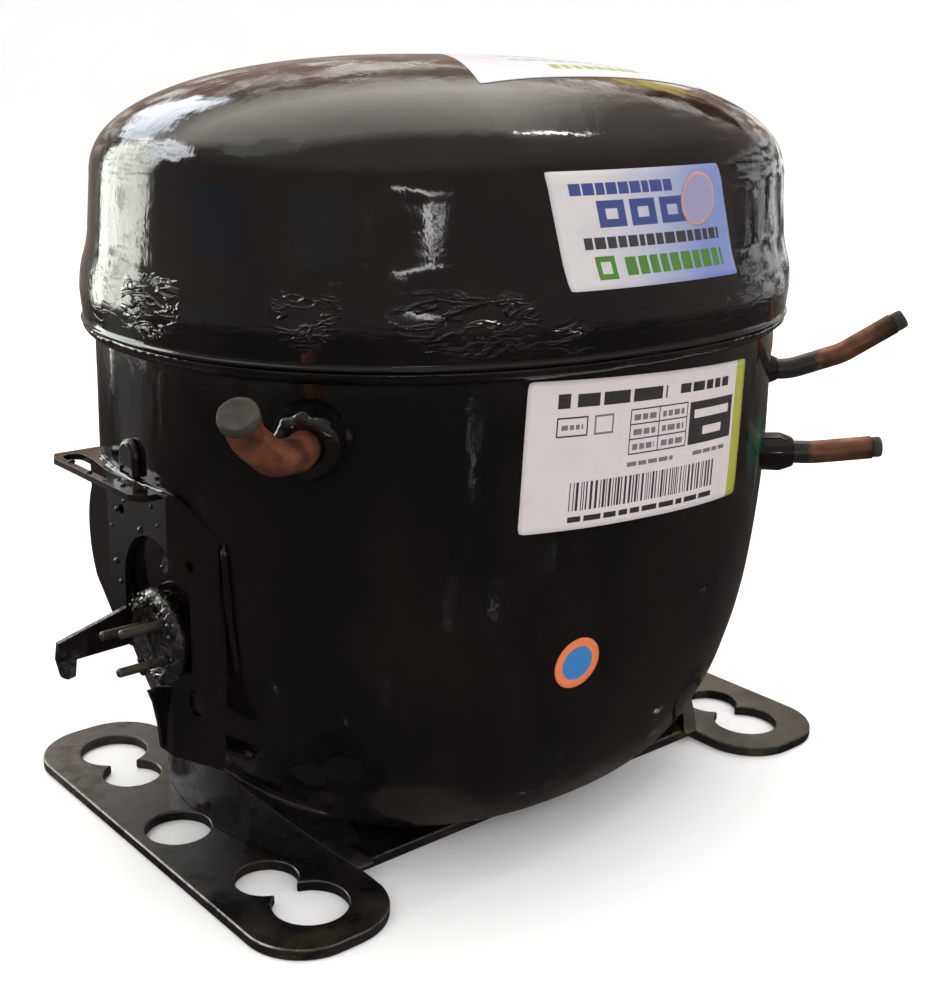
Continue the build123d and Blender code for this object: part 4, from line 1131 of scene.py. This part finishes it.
def area_light(name, place, aim, width, height, power, colour=(1, 1, 1)):
    data = bpy.data.lights.new(name, "AREA")
    data.shape = "RECTANGLE"
    data.size, data.size_y = width, height
    data.energy = power
    data.color = colour
    lamp = new_object(name, data)
    lamp.location = place
    lamp.rotation_euler = (Vector(aim) - Vector(place)).to_track_quat("-Z", "Y").to_euler()
    lamp.visible_camera = False
    return lamp


class Surroundings(Graph):
    """The room that the glossy paint mirrors: dark below, lighter above."""

    def __init__(self):
        world = bpy.data.worlds.new("room")
        bpy.context.scene.world = world
        world.use_nodes = True
        super().__init__(world.node_tree, "Generated")
        self.height = self.along("Z")
        self.colour = (0.07, 0.058, 0.052)

    def level(self, low, high, colour):
        """Changes the colour above an elevation, fading in from low to high degrees."""
        share = self.span(self.height, math.sin(math.radians(low)), math.sin(math.radians(high)))
        self.colour = self.mix(share, self.colour, colour)

    def patch(self, azimuth, elevation, half_width, half_height, soft, colour, share=1.0,
              tilt=0.0, ragged=0.0):
        """Lays an area of a colour, in degrees. Azimuth runs from +Y towards +X. A ragged
        area has an uneven outline."""
        a, e = math.radians(azimuth), math.radians(elevation)
        ahead = (math.sin(a) * math.cos(e), math.cos(a) * math.cos(e), math.sin(e))
        aside = (math.cos(a), -math.sin(a), 0)
        above = (-math.sin(a) * math.sin(e), -math.cos(a) * math.sin(e), math.cos(e))
        turn = Matrix.Rotation(math.radians(tilt), 3, Vector(ahead))
        masks = [self.span(self.dot(ahead), 0.0, 0.05)]
        for axis, half in ((turn @ Vector(aside), half_width), (turn @ Vector(above), half_height)):
            off = self.calc("ABSOLUTE", self.dot(axis))
            masks.append(self.span(off, math.sin(math.radians(half + soft)),
                                   math.sin(math.radians(max(half - soft, 0)))))
        mask = self.times(*masks)
        if ragged:
            uneven = self.span(self.noise(11, 5, rough=0.7), 0.3, 0.7, -ragged, ragged)
            mask = self.span(self.calc("ADD", mask, uneven), 0.44, 0.56)
        self.colour = self.mix(self.times(mask, share), self.colour, colour)

    def finish(self):
        self.put(self.tree.nodes["Background"].inputs["Color"], self.colour)


def room():
    """Shelves, windows and lamps, where the object's highlights say that they were."""
    sky = Surroundings()
    sky.level(-13, -7, (0.36, 0.3, 0.27))
    sky.level(30, 48, (0.7, 0.62, 0.56))
    mottle = sky.noise(9, 5, (1, 1, 1.6), rough=0.72)
    leaves = sky.noise(24, 4, rough=0.6)
    sky.patch(80, 5, 28, 12, 3, (0.09, 0.085, 0.08))
    sky.patch(80, 5, 28, 12, 3, (1.7, 1.75, 1.7), sky.span(mottle, 0.47, 0.53))
    sky.patch(38, 22, 34, 13, 5, (0.42, 0.29, 0.21))
    sky.patch(38, 22, 34, 13, 5, (1.7, 1.6, 1.5), sky.span(mottle, 0.5, 0.55))
    sky.patch(50, 18, 7, 3, 2, (1.2, 0.9, 0.2), sky.span(mottle, 0.42, 0.5))
    sky.patch(66, 24, 9, 3, 2, (0.1, 0.05, 0.03), ragged=0.4)
    sky.patch(14, 64, 33, 25, 6, (2.7, 2.55, 2.3))
    sky.patch(2, 27, 16, 6, 3, (4.2, 4.5, 4.9), ragged=0.45)
    sky.patch(-22, 10, 13, 20, 4, (7.6, 7.8, 7.0), ragged=0.42)
    sky.patch(-30, 30, 12, 7, 4, (9, 9.4, 9.8), ragged=0.5)
    sky.patch(-20, 12, 16, 22, 3, (1.6, 1.8, 1.7), sky.span(leaves, 0.54, 0.58))
    sky.patch(-24, -14, 7, 5, 3, (0.3, 0.3, 0.3))
    sky.patch(-157, 6.5, 9, 0.9, 1.3, (13, 13, 13), tilt=-42, ragged=0.32)
    sky.patch(-161, 5.5, 7, 0.5, 0.9, (10, 10, 10), tilt=-32, ragged=0.3)
    sky.patch(-62, 56, 9, 12, 5, (1.5, 1.6, 1.4), ragged=0.5)
    sky.patch(-120, 1, 10, 4, 3, (0.32, 0.36, 0.42), ragged=0.3)
    sky.patch(-75, -3, 12, 6, 3, (0.28, 0.34, 0.42), ragged=0.3)
    sky.patch(103.5, 56, 0.9, 5.5, 0.8, (28, 27, 25), ragged=0.3)
    sky.finish()


def area_lights():
    """Lamps that only light the object and the stage. The paint mirrors the room instead."""
    for lamp in (area_light("overhead", (0.1, 0.1, 1.7), (0, 0, 0.1), 1.4, 1.4, 16),
                 area_light("front_fill", (-0.5, -1.3, 0.8), (0, 0, 0.1), 0.9, 0.6, 3,
                            (1.0, 0.94, 0.88))):
        lamp.visible_glossy = False


# Camera: where it stands in mm, how it is turned in degrees, its lens in mm and its shift
CAMERA_AT = (-259.115, -308.159, 200.381)
CAMERA_YAW, CAMERA_PITCH, CAMERA_ROLL = 39.969, -14.855, 1.056
CAMERA_LENS, CAMERA_SENSOR = 52.01, 36
CAMERA_SHIFT = (0.0246, -0.0534)


def camera():
    """At the photograph's viewing angle."""
    yaw, pitch, roll = (math.radians(d) for d in (CAMERA_YAW, CAMERA_PITCH, CAMERA_ROLL))
    ahead = Vector((math.sin(yaw) * math.cos(pitch), math.cos(yaw) * math.cos(pitch),
                    math.sin(pitch)))
    right = Vector((math.cos(yaw), -math.sin(yaw), 0))
    up = right.cross(ahead)
    rolled_right = right * math.cos(roll) + up * math.sin(roll)
    rolled_up = up * math.cos(roll) - right * math.sin(roll)
    data = bpy.data.cameras.new("camera")
    data.lens = CAMERA_LENS
    data.sensor_width = CAMERA_SENSOR
    data.shift_x, data.shift_y = CAMERA_SHIFT
    data.clip_start = 0.01
    lens = new_object("camera", data)
    turn = Matrix((rolled_right, rolled_up, -ahead)).transposed().to_4x4()
    lens.matrix_world = Matrix.Translation(Vector(CAMERA_AT) * MM) @ turn
    bpy.context.scene.camera = lens


stage()
room()
area_lights()
camera()
bpy.context.scene.view_settings.view_transform = "Standard"
